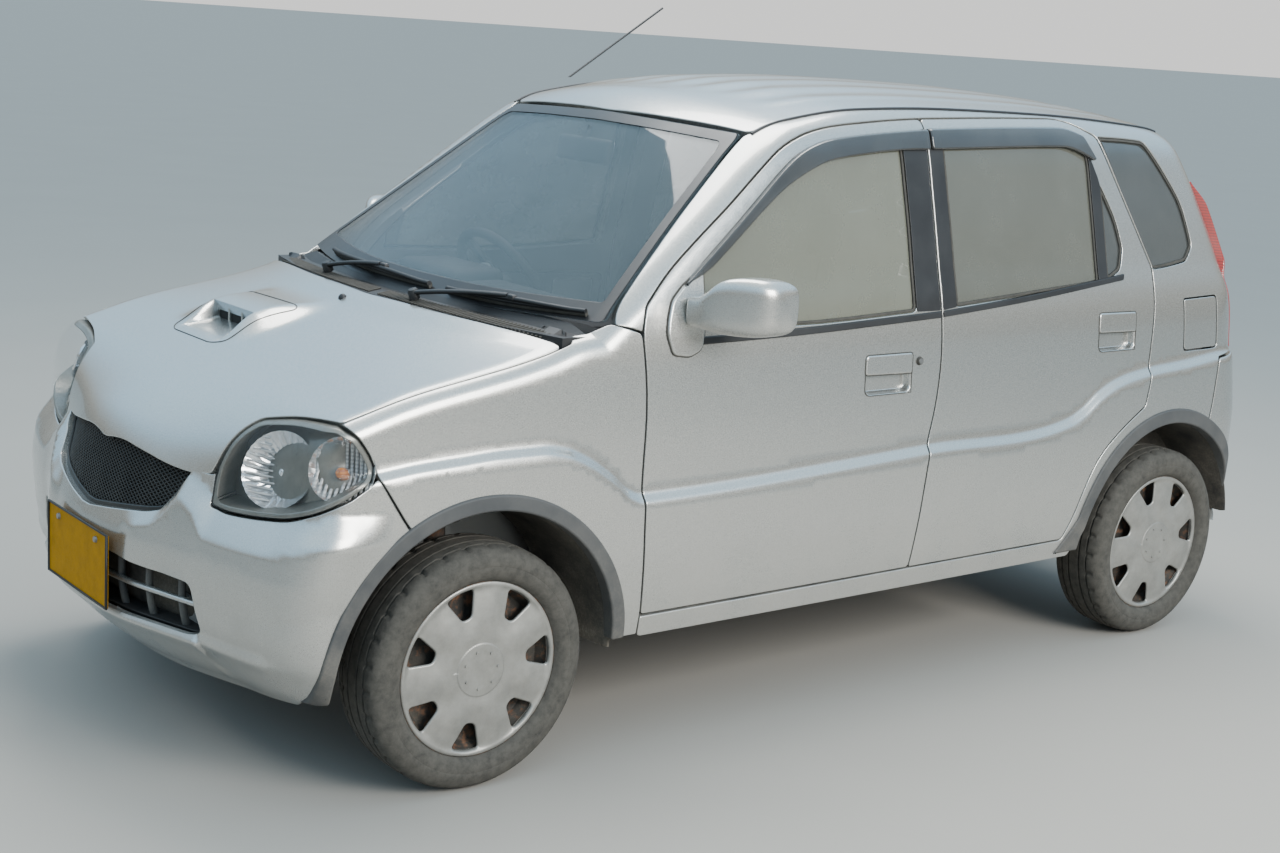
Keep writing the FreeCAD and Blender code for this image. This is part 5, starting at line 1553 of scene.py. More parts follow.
def makeLamps():
    rim = np.array([
        (1480, 446, 810), (1443, 540, 829), (1419, 664, 836), (1395, 696, 816),
        (1368, 700, 778), (1355, 703, 746), (1372, 719, 721), (1422, 720, 692),
        (1476, 697, 664), (1515, 633, 637), (1547, 535, 624), (1569, 451, 618),
        (1577, 408, 623), (1561, 399, 695), (1535, 412, 757), (1508, 427, 788)]) / 1000.0
    data = shellData(rim, "nose", 0.004, lift=0.003, edge=0.003, gap=0.003, step=0.02)
    makePair("headlamp_cover", data, ("body", "body"), (lampGlass, lampGlass),
             (("headlamps",), ()))
    flat = rayKinds["nose"][1](rim)
    ring = flat if turnedArea(flat) > 0 else flat[::-1]

    def inset(distance):
        small = drawIn(refine(soften(ring, 0.01, True), 0.02, True), distance)
        origin, direction = noseRays(small)
        return origin + direction * shootOut(origin, direction)[:, None]

    wall = shellData(rim, "nose", 0.075, [inset(0.016)], lift=-0.004, edge=0.003, gap=0.003,
                     step=0.02)
    makePair("headlamp_wall", wall, ("body", "body"), (bezelGrey, bezelGrey))
    floor = shellData(inset(0.012), "nose", 0.01, lift=-0.07, gap=0.0, step=0.03)
    makePair("headlamp_floor", floor, ("body", "body"), (bezelGrey, bezelGrey))
    for sign, label in ((1, "left"), (-1, "right")):
        maker = bmesh.new()
        bowls = (((1.471, 0.516, 0.712), 0.083, (0.78, 0.50, 0.38), 30),
                 ((1.402, 0.655, 0.737), 0.070, (0.66, 0.64, 0.38), 22))
        ribs = []
        for centre, radius, facing, flutes in bowls:
            centre = Vector((centre[0], centre[1] * sign, centre[2]))
            facing = Vector((facing[0], facing[1] * sign, facing[2])).normalized()
            profile = [(-0.042 + 0.052 * (r / radius) ** 2, r) for r in
                       np.linspace(0.010, radius, 9)]
            back = [(a - 0.004, r) for a, r in reversed(profile)]
            rings = addLathe(maker, profile + back, centre, facing, flutes * 2)
            for ring3 in rings[2:9]:
                for k, vert in enumerate(ring3):
                    if k % 2:
                        vert.co += facing * 0.0022
            addLathe(maker, [(-0.046, 0.0012), (-0.046, 0.011), (-0.02, 0.011),
                             (-0.012, 0.009), (-0.008, 0.0012)], centre, facing, 20)
            up = (Vector((0, 0, 1)) - facing * facing.z).normalized()
            across = up.cross(facing) * sign
            for k in range(11):
                t = (k - 5) * 0.155
                chord = math.sqrt(1 - t * t)
                if flutes == 30:
                    ends = [(t, -0.94 * chord), (t, -0.30 - 0.2 * t)]
                else:
                    ends = [(-0.9 * chord, t), (0.85 * chord, t)]
                ribs.append([centre + (up * a + across * b) * radius
                             + facing * (-0.030 + 0.040 * (a * a + b * b))
                             for a, b in (ends[0], ((ends[0][0] + ends[1][0]) / 2,
                                                    (ends[0][1] + ends[1][1]) / 2), ends[1])])
        fromMaker("headlamp_reflectors_" + label, maker, lampSilver, "body", angle=20)
        sweepPaths("headlamp_flutes_" + label, ribs, 0.0036, lampWhite, "body",
                   0.6, 8)
        maker = bmesh.new()
        addLathe(maker, [(-0.03, 0.001), (-0.03, 0.012), (0.000, 0.014), (0.010, 0.010),
                         (0.014, 0.001)], (1.404, 0.652 * sign, 0.732),
                 (0.66, 0.64 * sign, 0.38), 20)
        fromMaker("side_bulb_" + label, maker, lampAmber, "body")


def makeGrilles():
    # Crossed wires behind the upper opening
    grille = {"pitch": 16.0, "lean": 0.62, "wire": 0.0021, "set": -0.020, "low": 536,
              "high": 716}
    hole = np.array([(0, 713), (200, 706), (338, 692), (322, 655), (278, 584), (240, 574),
                     (0, 537)], float)
    full = np.vstack([hole, hole[::-1][:-1] * np.array([-1, 1])])
    paths = []
    for lean in (-1, 1):
        for start in np.arange(-520, 520, grille["pitch"]):
            t = np.arange(grille["low"], grille["high"], 4.0)
            line = np.column_stack([start + lean * grille["lean"] * (t - 600) / 0.36, t])
            ok = insideOf(line, full)
            run = []
            for p, good in zip(line, ok):
                if good:
                    run.append(p)
                elif len(run) > 2:
                    paths.append(run)
                    run = []
                else:
                    run = []
            if len(run) > 2:
                paths.append(run)
    laid = []
    for run in paths:
        flat = np.array(run)[::2] / 1000.0
        if len(flat) < 2:
            continue
        origin, direction = frontRays(flat)
        laid.append(origin + direction * (shootOut(origin, direction)
                                          + grille["set"])[:, None])
    sweepPaths("upper_grille_mesh", laid, grille["wire"], meshBlack, "body",
               sides=4)
    half = onSkin("front", [(0, 718), (200, 711), (340, 698), (334, 652), (290, 576),
                            (245, 566), (0, 528)], 12.0)
    data = shellData(bothSides(half), "front", 0.004, lift=-0.032, gap=0, step=0.03)
    makePanel("upper_grille_back", data, "body", (linerBlack, linerBlack),
              ("front_grilles",))
    ring = shellData(bothSides(half), "front", 0.026,
                     [bothSides(onSkin("front", [(0, 709), (200, 702), (328, 688), (312, 654),
                                                 (270, 594), (238, 585), (0, 549)], 12.0))],
                     lift=-0.012, gap=0, step=0.03, edge=0.004)
    makePanel("upper_grille_rim", ring, "body", (meshBlack, meshBlack))
    # Lower opening: dark back, one bright bar across and ribs
    half = onSkin("front", [(0, 482), (408, 464), (434, 350), (396, 330), (0, 326)], 16.0)
    data = shellData(bothSides(half), "front", 0.004, lift=-0.055, gap=0, step=0.03)
    makePanel("lower_grille_back", data, "body", (linerBlack, linerBlack))
    inner = onSkin("front", [(0, 466), (395, 448), (420, 352), (388, 345), (0, 341)], 16.0)
    data = shellData(bothSides(half), "front", 0.046, [bothSides(inner)], lift=-0.010, gap=0,
                     step=0.03)
    makePanel("lower_grille_rim", data, "body", (trimBlack, trimBlack))
    bars = []
    for z in (404,):
        bars.append(bothSides(onSkin("front", [(0, z), (414, z)]))
                    - np.array([0.024, 0, 0]))
    sweepPaths("lower_grille_bar", bars, 0.0085, paintSilver, "body", 0.8, 12)
    ribs = []
    for y in (-340, -240, -140, 140, 240, 340):
        ribs.append(onSkin("front", [(y, 336), (y, 470)]) - np.array([0.030, 0, 0]))
    sweepPaths("lower_grille_ribs", ribs, 0.0065, trimGrey, "body", 1.4, 8)
    # Plate frame, bolts
    low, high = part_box("front_plate")
    x = high.x + 0.0008
    frameLine = [(x, low.y, low.z), (x, high.y, low.z), (x, high.y, high.z), (x, low.y, high.z)]
    sweepPaths("plate_frame", [frameLine], 0.0035, trimBlack, "body",
               closed=True)
    putStuds("plate_bolts", [(high.x - 0.001, -0.105, 0.4845), (high.x - 0.001, 0.105, 0.4845)],
             [(1, 0, 0), (1, 0, 0)], 0.008, 0.006, steelBare, "body")


def makeTailLamps():
    outline = joined(
        onSkin("back", [(511, 1320), (524, 1250), (570, 985), (571, 834)]),
        onSkin("back", [(600, 833), (640, 833)]),
        sideRun([(-1573, 833), (-1557, 1064), (-1420, 1322)]))
    def swell(p):
        return 0.020 * softStep(p[:, 2], 1.03, 1.10) * softStep(-p[:, 2], -1.33, -1.25)

    data = shellData(outline, "rear", 0.03, lift=0.002, edge=0.006, step=0.02, dish=swell)
    makePair("tail_lamp", data, ("body", "body"), (lampRed, bezelGrey),
             (("tail_lamps",), ()))


def makeLiners():
    # Inner faces of the wheel openings
    for name, centre, low, high, y0 in (("front", archCentres["front"], -2, 182, 0.47),
                                        ("rear", archCentres["rear"], 3, 172, 0.54)):
        for sign, label in ((1, "left"), (-1, "right")):
            maker = bmesh.new()
            rows = []
            for a in np.radians(np.linspace(low, high, 40)):
                row = []
                for radius, y in ((0.360, 0.700), (0.352, 0.69), (0.345, y0 + 0.02),
                                  (0.335, y0), (0.349, y0), (0.3655, 0.700)):
                    row.append(maker.verts.new((centre[0] / 1000 + radius * math.cos(a),
                                                y * sign,
                                                centre[1] / 1000 + radius * math.sin(a))))
                rows.append(row)
            for first, second in zip(rows, rows[1:]):
                for k in range(6):
                    j = (k + 1) % 6
                    maker.faces.new((first[k], first[j], second[j], second[k]))
            maker.faces.new(rows[0])
            maker.faces.new(rows[-1][::-1])
            fromMaker(name + "_wheel_liner_" + label, maker, linerBlack, "body")


def makeInnerFrames():
    # Posts and rails behind the door edges
    outline = sideRun([(668, 300), (-880, 300)] + arcPoints(archCentres["rear"], 398, 3, 112)
                      + [(-1440, 700), (-1500, 840), (-1470, 1080), (-1370, 1330),
                         (-1300, 1450), (-300, 1470), (60, 1440), (230, 1370), (610, 1090),
                         (668, 1000), (668, 300)], 20.0)[:-1]
    frontHole = [(626, 372), (640, 624), (630, 829), (640, 985), (560, 1090), (378, 1234),
                 (180, 1378), (51, 1414), (-22, 1422), (-252, 1440), (-252, 985),
                 (-252, 866), (-238, 748), (-212, 650), (-180, 372)]
    rearHole = [(-270, 372), (-300, 650), (-330, 748), (-342, 866), (-342, 985),
                (-342, 1442), (-868, 1450), (-955, 1418), (-1060, 1240), (-1140, 1080),
                (-1145, 976), (-1128, 800), (-1110, 720), (-1010, 665), (-925, 590),
                (-872, 500), (-835, 400), (-815, 372)]
    holes = [sideRun(h + h[:1], 24.0)[:-1] for h in (frontHole, rearHole)]
    holes.append(sideRun(quarterLine + quarterLine[:1])[:-1])
    data = shellData(outline, "side", 0.04, holes, lift=-0.05, step=0.045, gap=0, edge=0.004,
                     run=0.024)
    makePair("door_frame", data, ("body", "body"), (paintInside, paintInside))
    for name, hole in (("front", frontHole), ("rear", rearHole)):
        line = sideRun(hole + hole[:1], 24.0)[:-1]
        flat = line[:, [0, 2]]
        ring = flat if turnedArea(flat) > 0 else flat[::-1]
        ring = drawIn(refine(ring, 0.02, True), -0.006)
        origin, direction = sideRays(ring)
        seal = origin + direction * (shootOut(origin, direction) - 0.046)[:, None]
        for sign, label in ((1, "left"), (-1, "right")):
            sweepPaths(name + "_door_seal_" + label, [seal * np.array([1, sign, 1])], 0.006,
                       sealRubber, "body", sides=8, closed=True)


makeTrim()
makeLamps()
makeGrilles()
makeTailLamps()
makeLiners()
makeInnerFrames()
print("stage: outside trim made")


def dress(material, *names):
    # A carried-over CAD node takes a finished material
    for name in names:
        for slot in nodes[name].material_slots:
            slot.material = material


def loft(maker, sections, capped=True, slot=0):
    # Joins rings of equal length with faces
    rings = [[maker.verts.new(tuple(p)) for p in section] for section in sections]
    count = len(rings[0])
    for first, second in zip(rings, rings[1:]):
        for k in range(count):
            j = (k + 1) % count
            face = maker.faces.new((first[k], first[j], second[j], second[k]))
            face.material_index = slot
    if capped:
        maker.faces.new(rings[0][::-1]).material_index = slot
        maker.faces.new(rings[-1]).material_index = slot
    return rings


def flipMaker(maker, sign):
    if sign < 0:
        for vert in maker.verts:
            vert.co.y = -vert.co.y


# Door mirrors: sections along the housing, (y, front x, rear x, low z, high z) in metres
mirror = {
    "sections": [(0.684, 0.556, 0.496, 1.005, 1.070), (0.690, 0.556, 0.496, 1.005, 1.070),
                 (0.705, 0.556, 0.490, 1.003, 1.071), (0.722, 0.555, 0.480, 1.001, 1.075),
                 (0.742, 0.552, 0.464, 0.998, 1.092), (0.762, 0.546, 0.450, 0.995, 1.116),
                 (0.790, 0.533, 0.426, 0.993, 1.127), (0.826, 0.510, 0.398, 0.994, 1.129),
                 (0.852, 0.488, 0.378, 0.998, 1.125), (0.866, 0.466, 0.368, 1.006, 1.116),
                 (0.872, 0.440, 0.372, 1.022, 1.100)],
    "sail": [(484, 1124), (486, 1079), (488, 1045), (492, 1000), (500, 957), (511, 943),
             (541, 931), (588, 938), (604, 984), (600, 1017), (584, 1060), (550, 1090),
             (525, 1106)],
    "squareness": 4.0,
    "ringSteps": 36,
}


def makeMirrors(values):
    ring = sideRun(values["sail"] + values["sail"][:1], 12.0)[:-1]
    sail = shellData(ring, "side", 0.016, lift=0.007, edge=0.006, gap=0.0, step=0.014)
    doors = ("front_door_left", "front_door_right")
    makePair("mirror_sail", sail, doors, (paintSilver, trimBlack))
    for sign, label in ((1, "left"), (-1, "right")):
        # A dark rubber line round the sail: painted shadow in the gap at its edge
        rim = ring * np.array([1, sign, 1])
        rim[:, 1] += sign * 0.0015
        sweepPaths("mirror_sail_seal_" + label, [rim], 0.0024, sealRubber,
                   "front_door_" + label, sides=8, closed=True)
        maker = bmesh.new()
        sections = []
        power = 2 / values["squareness"]
        for y, front, rear, low, high in values["sections"]:
            section = []
            for k in range(values["ringSteps"]):
                a = 2 * math.pi * k / values["ringSteps"]
                c, s = math.cos(a), math.sin(a)
                x = (front + rear) / 2 + (front - rear) / 2 * math.copysign(abs(c) ** power, c)
                z = (low + high) / 2 + (high - low) / 2 * math.copysign(abs(s) ** power, s)
                section.append((x, y + (0.006 if c > 0 else -0.004) * abs(c), z))
            sections.append(section)
        loft(maker, sections)
        flipMaker(maker, sign)
        item = fromMaker("mirror_housing_" + label, maker, paintSilver, "front_door_" + label,
                         angle=60)
        finish = item.modifiers.new("smooth", "SUBSURF")
        finish.levels = 2
        finish.render_levels = 2
        # glass in a dark rim, set in the rear face
        maker = bmesh.new()
        plates = []
        for grow, back in ((0.0, 0.001), (0.0, -0.004), (-0.006, -0.0055)):
            plate = []
            for k in range(32):
                a = 2 * math.pi * k / 32
                c, s = math.cos(a), math.sin(a)
                along = 0.052 * math.copysign(abs(c) ** 0.6, c) * (1 + grow / 0.052)
                up = 0.046 * math.copysign(abs(s) ** 0.6, s) * (1 + grow / 0.046)
                plate.append((0.4245 - 0.62 * along + back, 0.806 + 0.82 * along,
                              1.061 + up))
            plates.append(plate)
        loft(maker, plates)
        for face in maker.faces:
            if len(face.verts) > 8 and face.calc_center_median().x < 0.4215:
                face.material_index = 1
        flipMaker(maker, sign)
        fromMaker("mirror_glass_" + label, maker, (trimBlack, chrome), "front_door_" + label,
                  angle=30)


def makeHandles(values):
    for door in ("front", "rear"):
        one = values[door]
        x0, x1 = one["x"]
        low, high = one["split"], one["z"][1]
        lean = 1 if door == "front" else -1
        flap = sideRun([(x0 - 2, low - 2), (x0 - 4, high + 1), (x1 + 1, high + 2 - lean),
                        (x1 + 3, low + 1), (x0 - 2, low - 2)], 12.0)[:-1]
        data = shellData(flap, "side", 0.009, lift=0.0035, edge=0.006, gap=0.0, step=0.012)
        bodies = (door + "_door_left", door + "_door_right")
        makePair(door + "_door_handle", data, bodies, (paintSilver, trimBlack))
        # Dark rubber lines round the pocket and round the flap: painted shadow in the gaps there
        around = sideRun([(x0 - 1, one["z"][0] + 1), (x0 - 1, high - 1), (x1 + 1, high - 1),
                          (x1 + 1, one["z"][0] + 1), (x0 - 1, one["z"][0] + 1)], 20.0)[:-1]
        for sign, label in ((1, "left"), (-1, "right")):
            turn = np.array([1, sign, 1])
            sweepPaths(door + "_handle_gap_shade_" + label, [around * turn, flap * turn], 0.0017,
                       sealRubber, door + "_door_" + label, 0.7, 6,
                       closed=True)
    points = onSkin("side", [(-215, 879), (-214, 879)])[:1]
    for sign, label in ((1, "left"), (-1, "right")):
        spot = points[0] * np.array([1, sign, 1])
        putStuds("door_lock_rim_" + label, [spot], [(0, sign, 0.06)], 0.0115, 0.006,
                 sealRubber, "front_door_" + label, 24)
        putStuds("door_lock_" + label, [spot + np.array([0, sign * 0.0015, 0])],
                 [(0, sign, 0.06)], 0.0085, 0.006, steelBare, "front_door_" + label, 20)


def makeScoopParts(values):
    middle = values["middle"] / 1000
    half = values["half"] / 1000
    x = values["mouth"] / 1000
    spot = onSkin("top", [(values["mouth"], values["middle"]), (values["mouth"] - 1,
                                                               values["middle"])])[0]
    maker = bmesh.new()
    addBlock(maker, (x - 0.004, middle - half + 0.006, spot[2] - 0.030),
             (x + 0.003, middle + half - 0.006, spot[2] + 0.027), 0.002)
    fromMaker("scoop_mouth", maker, linerBlack, "bonnet")
    maker = bmesh.new()
    for share in (-0.36, 0.30):
        y = middle + share * half
        addBlock(maker, (x - 0.004, y - 0.003, spot[2] - 0.024),
                 (x + 0.010, y + 0.003, spot[2] + 0.025), 0.0025)
    fromMaker("scoop_vanes", maker, paintSilver, "bonnet")
    y0, y1 = values["middle"] - values["half"] - 34, values["middle"] + values["half"] + 34
    front, rear = values["front"] + 6, values["mouth"] - 96
    seam = onSkin("top", [(rear, y0), (front - 20, y0 + 8), (front, y0 + 40), (front, y1 - 40),
                          (front - 20, y1 - 8), (rear, y1)], 26.0, True)
    rays, flatten = rayKinds["hood"]
    direction = rays(flatten(seam))[1]
    lean = (fieldNormal(seam) * direction).sum(1)
    seam = seam + direction * ((scoopDish(seam) + 0.0006) / lean)[:, None]
    sweepPaths("scoop_seam", [seam], 0.0013, sealRubber, "bonnet", 0.8, 6,
               closed=True)


# Wipers: blade ends and arm points on the screen, millimetres (y, z) seen from the front
wipers = {
    "right": {"blade": [(-430, 1020), (-250, 1016), (124, 1016)], "pivot": (-300, 992),
              "join": (-95, 1020)},
    "left": {"blade": [(196, 1015), (400, 1014), (604, 1022)], "pivot": (150, 992),
             "join": (400, 1018)},
    "lift": 0.013,
}


def screenLine(points, lift):
    flat = refine(soften([np.array(p, float) for p in points], 60) / 1000.0, 0.02)
    origin, direction = frontRays(flat)
    hit = origin + direction * shootOut(origin, direction)[:, None]
    normal = fieldNormal(hit)
    return hit + normal * lift


def makeWipers(values):
    for name in ("right", "left"):
        one = values[name]
        blade = screenLine(one["blade"], 0.006)
        sweepPaths("wiper_rubber_" + name, [blade], 0.0058, sealRubber, "body",
                   1.5, 8)
        spine = screenLine(one["blade"], values["lift"])
        cut = max(1, len(spine) // 12)
        bow = spine[cut:-cut].copy()
        rise = np.sin(np.linspace(0, math.pi, len(bow)))[:, None]
        bow = bow + fieldNormal(bow) * rise * 0.010
        sweepPaths("wiper_spine_" + name, [spine, bow], 0.0070, trimBlack, "body",
                   0.8, 8)
        low = screenLine([one["pivot"], (one["pivot"][0] + 1, one["pivot"][1])], 0.018)[0]
        high = screenLine([one["join"], (one["join"][0] + 1, one["join"][1])], 0.026)[0]
        middle = (low + high) / 2 + np.array([0.004, 0, 0.010])
        t = np.linspace(0, 1, 14)[:, None]
        arm = low * (1 - t) ** 2 + 2 * middle * t * (1 - t) + high * t * t
        sweepPaths("wiper_arm_" + name, [arm], 0.0098, trimBlack, "body",
                   0.6, 10)
        maker = bmesh.new()
        addLathe(maker, [(-0.016, 0.0006), (-0.016, 0.013), (0.004, 0.013), (0.009, 0.010),
                         (0.010, 0.0006)], low, (0.35, 0, 0.94), 24)
        fromMaker("wiper_pivot_" + name, maker, trimBlack, "body")
        clip = bmesh.new()
        addBlock(clip, Vector(high) - Vector((0.010, 0.026, 0.010)),
                 Vector(high) + Vector((0.006, 0.026, 0.004)), 0.004)
        fromMaker("wiper_clip_" + name, clip, trimBlack, "body")


def makeCowlGrille():
    # Moulded cover in front of the windscreen, with rows of narrow slots
    half = joined(onSkin("top", [(978, 0), (955, 320), (922, 500), (884, 640)]),
                  onSkin("top", [(850, 648), (842, 600), (872, 410), (902, 200), (908, 0)]))
    data = shellData(bothSides(half), "top", 0.008, lift=-0.003, edge=0.003, gap=0.001,
                     step=0.02)
    makePanel("cowl_cover", data, "body", (trimBlack, trimBlack))
    ribs = []
    for y in np.arange(-600, 601, 12.0):
        if abs(y) < 20:
            continue
        front = 972 - 76 * (abs(y) / 620) ** 2
        ribs.append(onSkin("top", [(front - 8, y), (front - 44, y)])
                    + np.array([0, 0, -0.001]))
    sweepPaths("cowl_slots", ribs, 0.0026, sealRubber, "body", 0.8, 6)
    nozzle = onSkin("top", [(1016, -52), (1015, -52)])[0]
    maker = bmesh.new()
    addLathe(maker, [(-0.004, 0.0006), (-0.004, 0.011), (0.003, 0.010), (0.008, 0.005),
                     (0.009, 0.0006)], nozzle, (0.1, 0, 1), 20)
    fromMaker("washer_nozzle", maker, trimBlack, "bonnet")


# Wheels, metres. The cap's face is a height over its radius.
wheel = {
    "front": (1.0825, 0.2768),
    "rear": (-1.2775, 0.2768),
    "turn": 98.0,
    "spokes": 7,
    "capRadius": 0.2003,
    "windowInner": 0.1240,
    "windowOuter": 0.1840,
    "windowInnerHalf": 5.4,
    "windowOuterHalf": 11.0,
    "hub": 0.060,
    "crown": 0.0060,
    "depth": 0.0038,
    "tyreSegments": 180,
}
capProfile = makeCurve([(0, 718.2), (40, 718.2), (60, 717.4), (80, 718.8), (110, 719.6),
                        (140, 717.6), (165, 714.4), (183, 712.4), (188, 713.2),
                        (193, 714.6), (197, 713.2), (201, 708.0)])


def capSurface(values):
    def height(uv):
        r = np.hypot(uv[:, 0], uv[:, 1])
        a = np.arctan2(uv[:, 1], uv[:, 0]) - math.radians(values["turn"])
        wave = 0.5 - 0.5 * np.cos(a * values["spokes"])
        dip = values["crown"] * wave * softStep(r, 0.075, 0.125) * softStep(-r, -0.192, -0.18)
        disc = 0.0016 * softStep(-r, -values["hub"] - 0.0015, -values["hub"] + 0.0015)
        return capProfile(r) - dip + disc

    def surface(uv):
        uv = np.asarray(uv, float)
        h = height(uv)
        small = 0.0004
        du = (height(uv + [small, 0]) - height(uv - [small, 0])) / (2 * small)
        dv = (height(uv + [0, small]) - height(uv - [0, small])) / (2 * small)
        normal = np.column_stack([-du, np.ones(len(uv)), -dv])
        normal = normal / np.linalg.norm(normal, axis=1, keepdims=True)
        hit = np.column_stack([uv[:, 0], h, uv[:, 1]])
        return hit, normal, np.tile([0.0, 1.0, 0.0], (len(uv), 1))
    return surface


def moved(data, shift):
    return data[0] + np.array(shift), data[1], data[2], data[3]


def makeCapData(values):
    ring = [(values["capRadius"] * math.cos(a), values["capRadius"] * math.sin(a))
            for a in np.linspace(0, 2 * math.pi, 121)[:-1]]
    holes = []
    pitch = 2 * math.pi / values["spokes"]
    for k in range(values["spokes"]):
        middle = math.radians(values["turn"]) + (k + 0.5) * pitch
        corners = []
        for radius, half in ((values["windowInner"], -values["windowInnerHalf"]),
                             (values["windowOuter"], -values["windowOuterHalf"]),
                             (values["windowOuter"] + 0.0015, 0),
                             (values["windowOuter"], values["windowOuterHalf"]),
                             (values["windowInner"], values["windowInnerHalf"])):
            a = middle + math.radians(half)
            corners.append((radius * math.cos(a), radius * math.sin(a)))
        holes.append(np.array(corners))
    guides = []
    for radius in (0.0575, 0.059, 0.060, 0.061, 0.0625, 0.188, 0.193):
        a = np.linspace(0, 2 * math.pi, int(radius * 2 * math.pi / 0.005))
        guides.append(np.column_stack([radius * np.cos(a), radius * np.sin(a)]))
    return shellData(np.array(ring), None, values["depth"], holes, step=0.0075, edge=0.0045,
                     gap=0.0, guides=guides, surface=capSurface(values))


def tyreRows():
    # Section of the tyre from the outer bead round the tread to the inner bead, then inside
    half = [(82.0 - 15.5, 199.0), (74.0, 204.0), (79.0, 212.0), (81.6, 224.0), (82.2, 232.0),
            (81.9, 233.2), (82.3, 234.4), (81.4, 244.0), (78.5, 254.0), (77.6, 255.4),
            (76.6, 258.5), (72.0, 264.5), (66.0, 269.5), (59.0, 273.0), (52.0, 274.6),
            (46.5, 275.2), (46.0, 269.0), (40.0, 269.2), (39.5, 275.9), (30.0, 276.3),
            (21.5, 276.6), (21.0, 270.0), (15.0, 270.0), (14.5, 276.7), (7.0, 276.8),
            (0.0, 276.8)]
    rows = half + [(-a, r) for a, r in half[-2::-1]]
    inside = [(-60.0, 206.0), (-66.0, 232.0), (-60.0, 254.0), (-40.0, 263.0), (0.0, 264.0),
              (40.0, 263.0), (60.0, 254.0), (66.0, 232.0), (60.0, 206.0)]
    return [(a / 1000, r / 1000) for a, r in rows + inside]


def makeWheels(values):
    cap = makeCapData(values)
    rows = tyreRows()
    rim = [(0.0665, 0.1985), (0.0655, 0.1940), (0.060, 0.1890), (0.050, 0.1860),
           (0.040, 0.1790), (0.030, 0.1720), (0.027, 0.160), (0.033, 0.120), (0.038, 0.085),
           (0.030, 0.045), (0.030, 0.0006), (0.026, 0.0006), (0.026, 0.045), (0.034, 0.085),
           (0.029, 0.120), (0.022, 0.160), (0.016, 0.1690), (-0.044, 0.1700),
           (-0.050, 0.1840), (-0.0570, 0.1900), (-0.0575, 0.1985), (-0.050, 0.1985),
           (-0.044, 0.1900), (-0.034, 0.1790), (0.014, 0.1780), (0.030, 0.1820),
           (0.044, 0.1905), (0.058, 0.1985)]
    for axle in ("front", "rear"):
        x, z = values[axle]
        for sign, label in ((1, "left"), (-1, "right")):
            body = "wheel_%s_%s" % (axle, label)
            data = moved(cap, (x, 0, z))
            data = data if sign > 0 else mirrorData(data)
            makePanel("hub_cap_%s_%s" % (axle, label), data, body,
                      (capSilver, trimGrey), (body,))
            points = []
            for k in range(values["spokes"]):
                a = math.radians(values["turn"]) + (k + 0.5) * 2 * math.pi / values["spokes"]
                points.append((x + 0.043 * math.cos(a), sign * 0.7204,
                               z + 0.043 * math.sin(a)))
            putStuds("cap_pips_%s_%s" % (axle, label), points,
                     [(0, sign, 0)] * values["spokes"], 0.0032, 0.0022, capSilver, body,
                     10)
            maker = bmesh.new()
            addLathe(maker, rim, (x, 0.645 * sign, z), (0, sign, 0), 64)
            fromMaker("steel_rim_%s_%s" % (axle, label), maker, wheelSteel, body,
                      angle=35)
            maker = bmesh.new()
            rings = addLathe(maker, rows, (x, 0.645 * sign, z), (0, sign, 0),
                             values["tyreSegments"])
            for index, (along, radius) in enumerate(rows):
                if index > len(rows) - 10 or not 0.0262 < radius / 10 or radius < 0.2715:
                    continue
                for k, vert in enumerate(rings[index]):
                    slant = 1 if along > 0 else 3
                    if (k + slant) % 6 == 0 and abs(along) > 0.03:
                        away = Vector((vert.co.x - x, 0, vert.co.z - z)).normalized()
                        vert.co -= away * 0.005
            fromMaker("tyre_tread_%s_%s" % (axle, label), maker, tyreBlack, body,
                      ("tyre_%s_%s" % (axle, label),), angle=28)


def finishNodes():
    dress(underSeal, "floor_pan", "rear_panel", "fuel_tank", "bulkhead")
    dress(paintInside, "front_frame")
    dress(trimBlack, "cowl", "antenna")
    dress(castIron, "engine_block", "knuckle_left", "knuckle_right")
    dress(steelBare, "exhaust")
    dress(underSeal, "rear_axle")
    dress(cabinDark, "steering_wheel")
    dress(cabinGrey, "dashboard")
    dress(plateAmber, "front_plate")


finishNodes()
makeMirrors(mirror)
makeHandles(doorHandles)
makeScoopParts(scoop)
makeWipers(wipers)
makeCowlGrille()
makeWheels(wheel)
print("stage: mirrors, handles, wipers and wheels made")


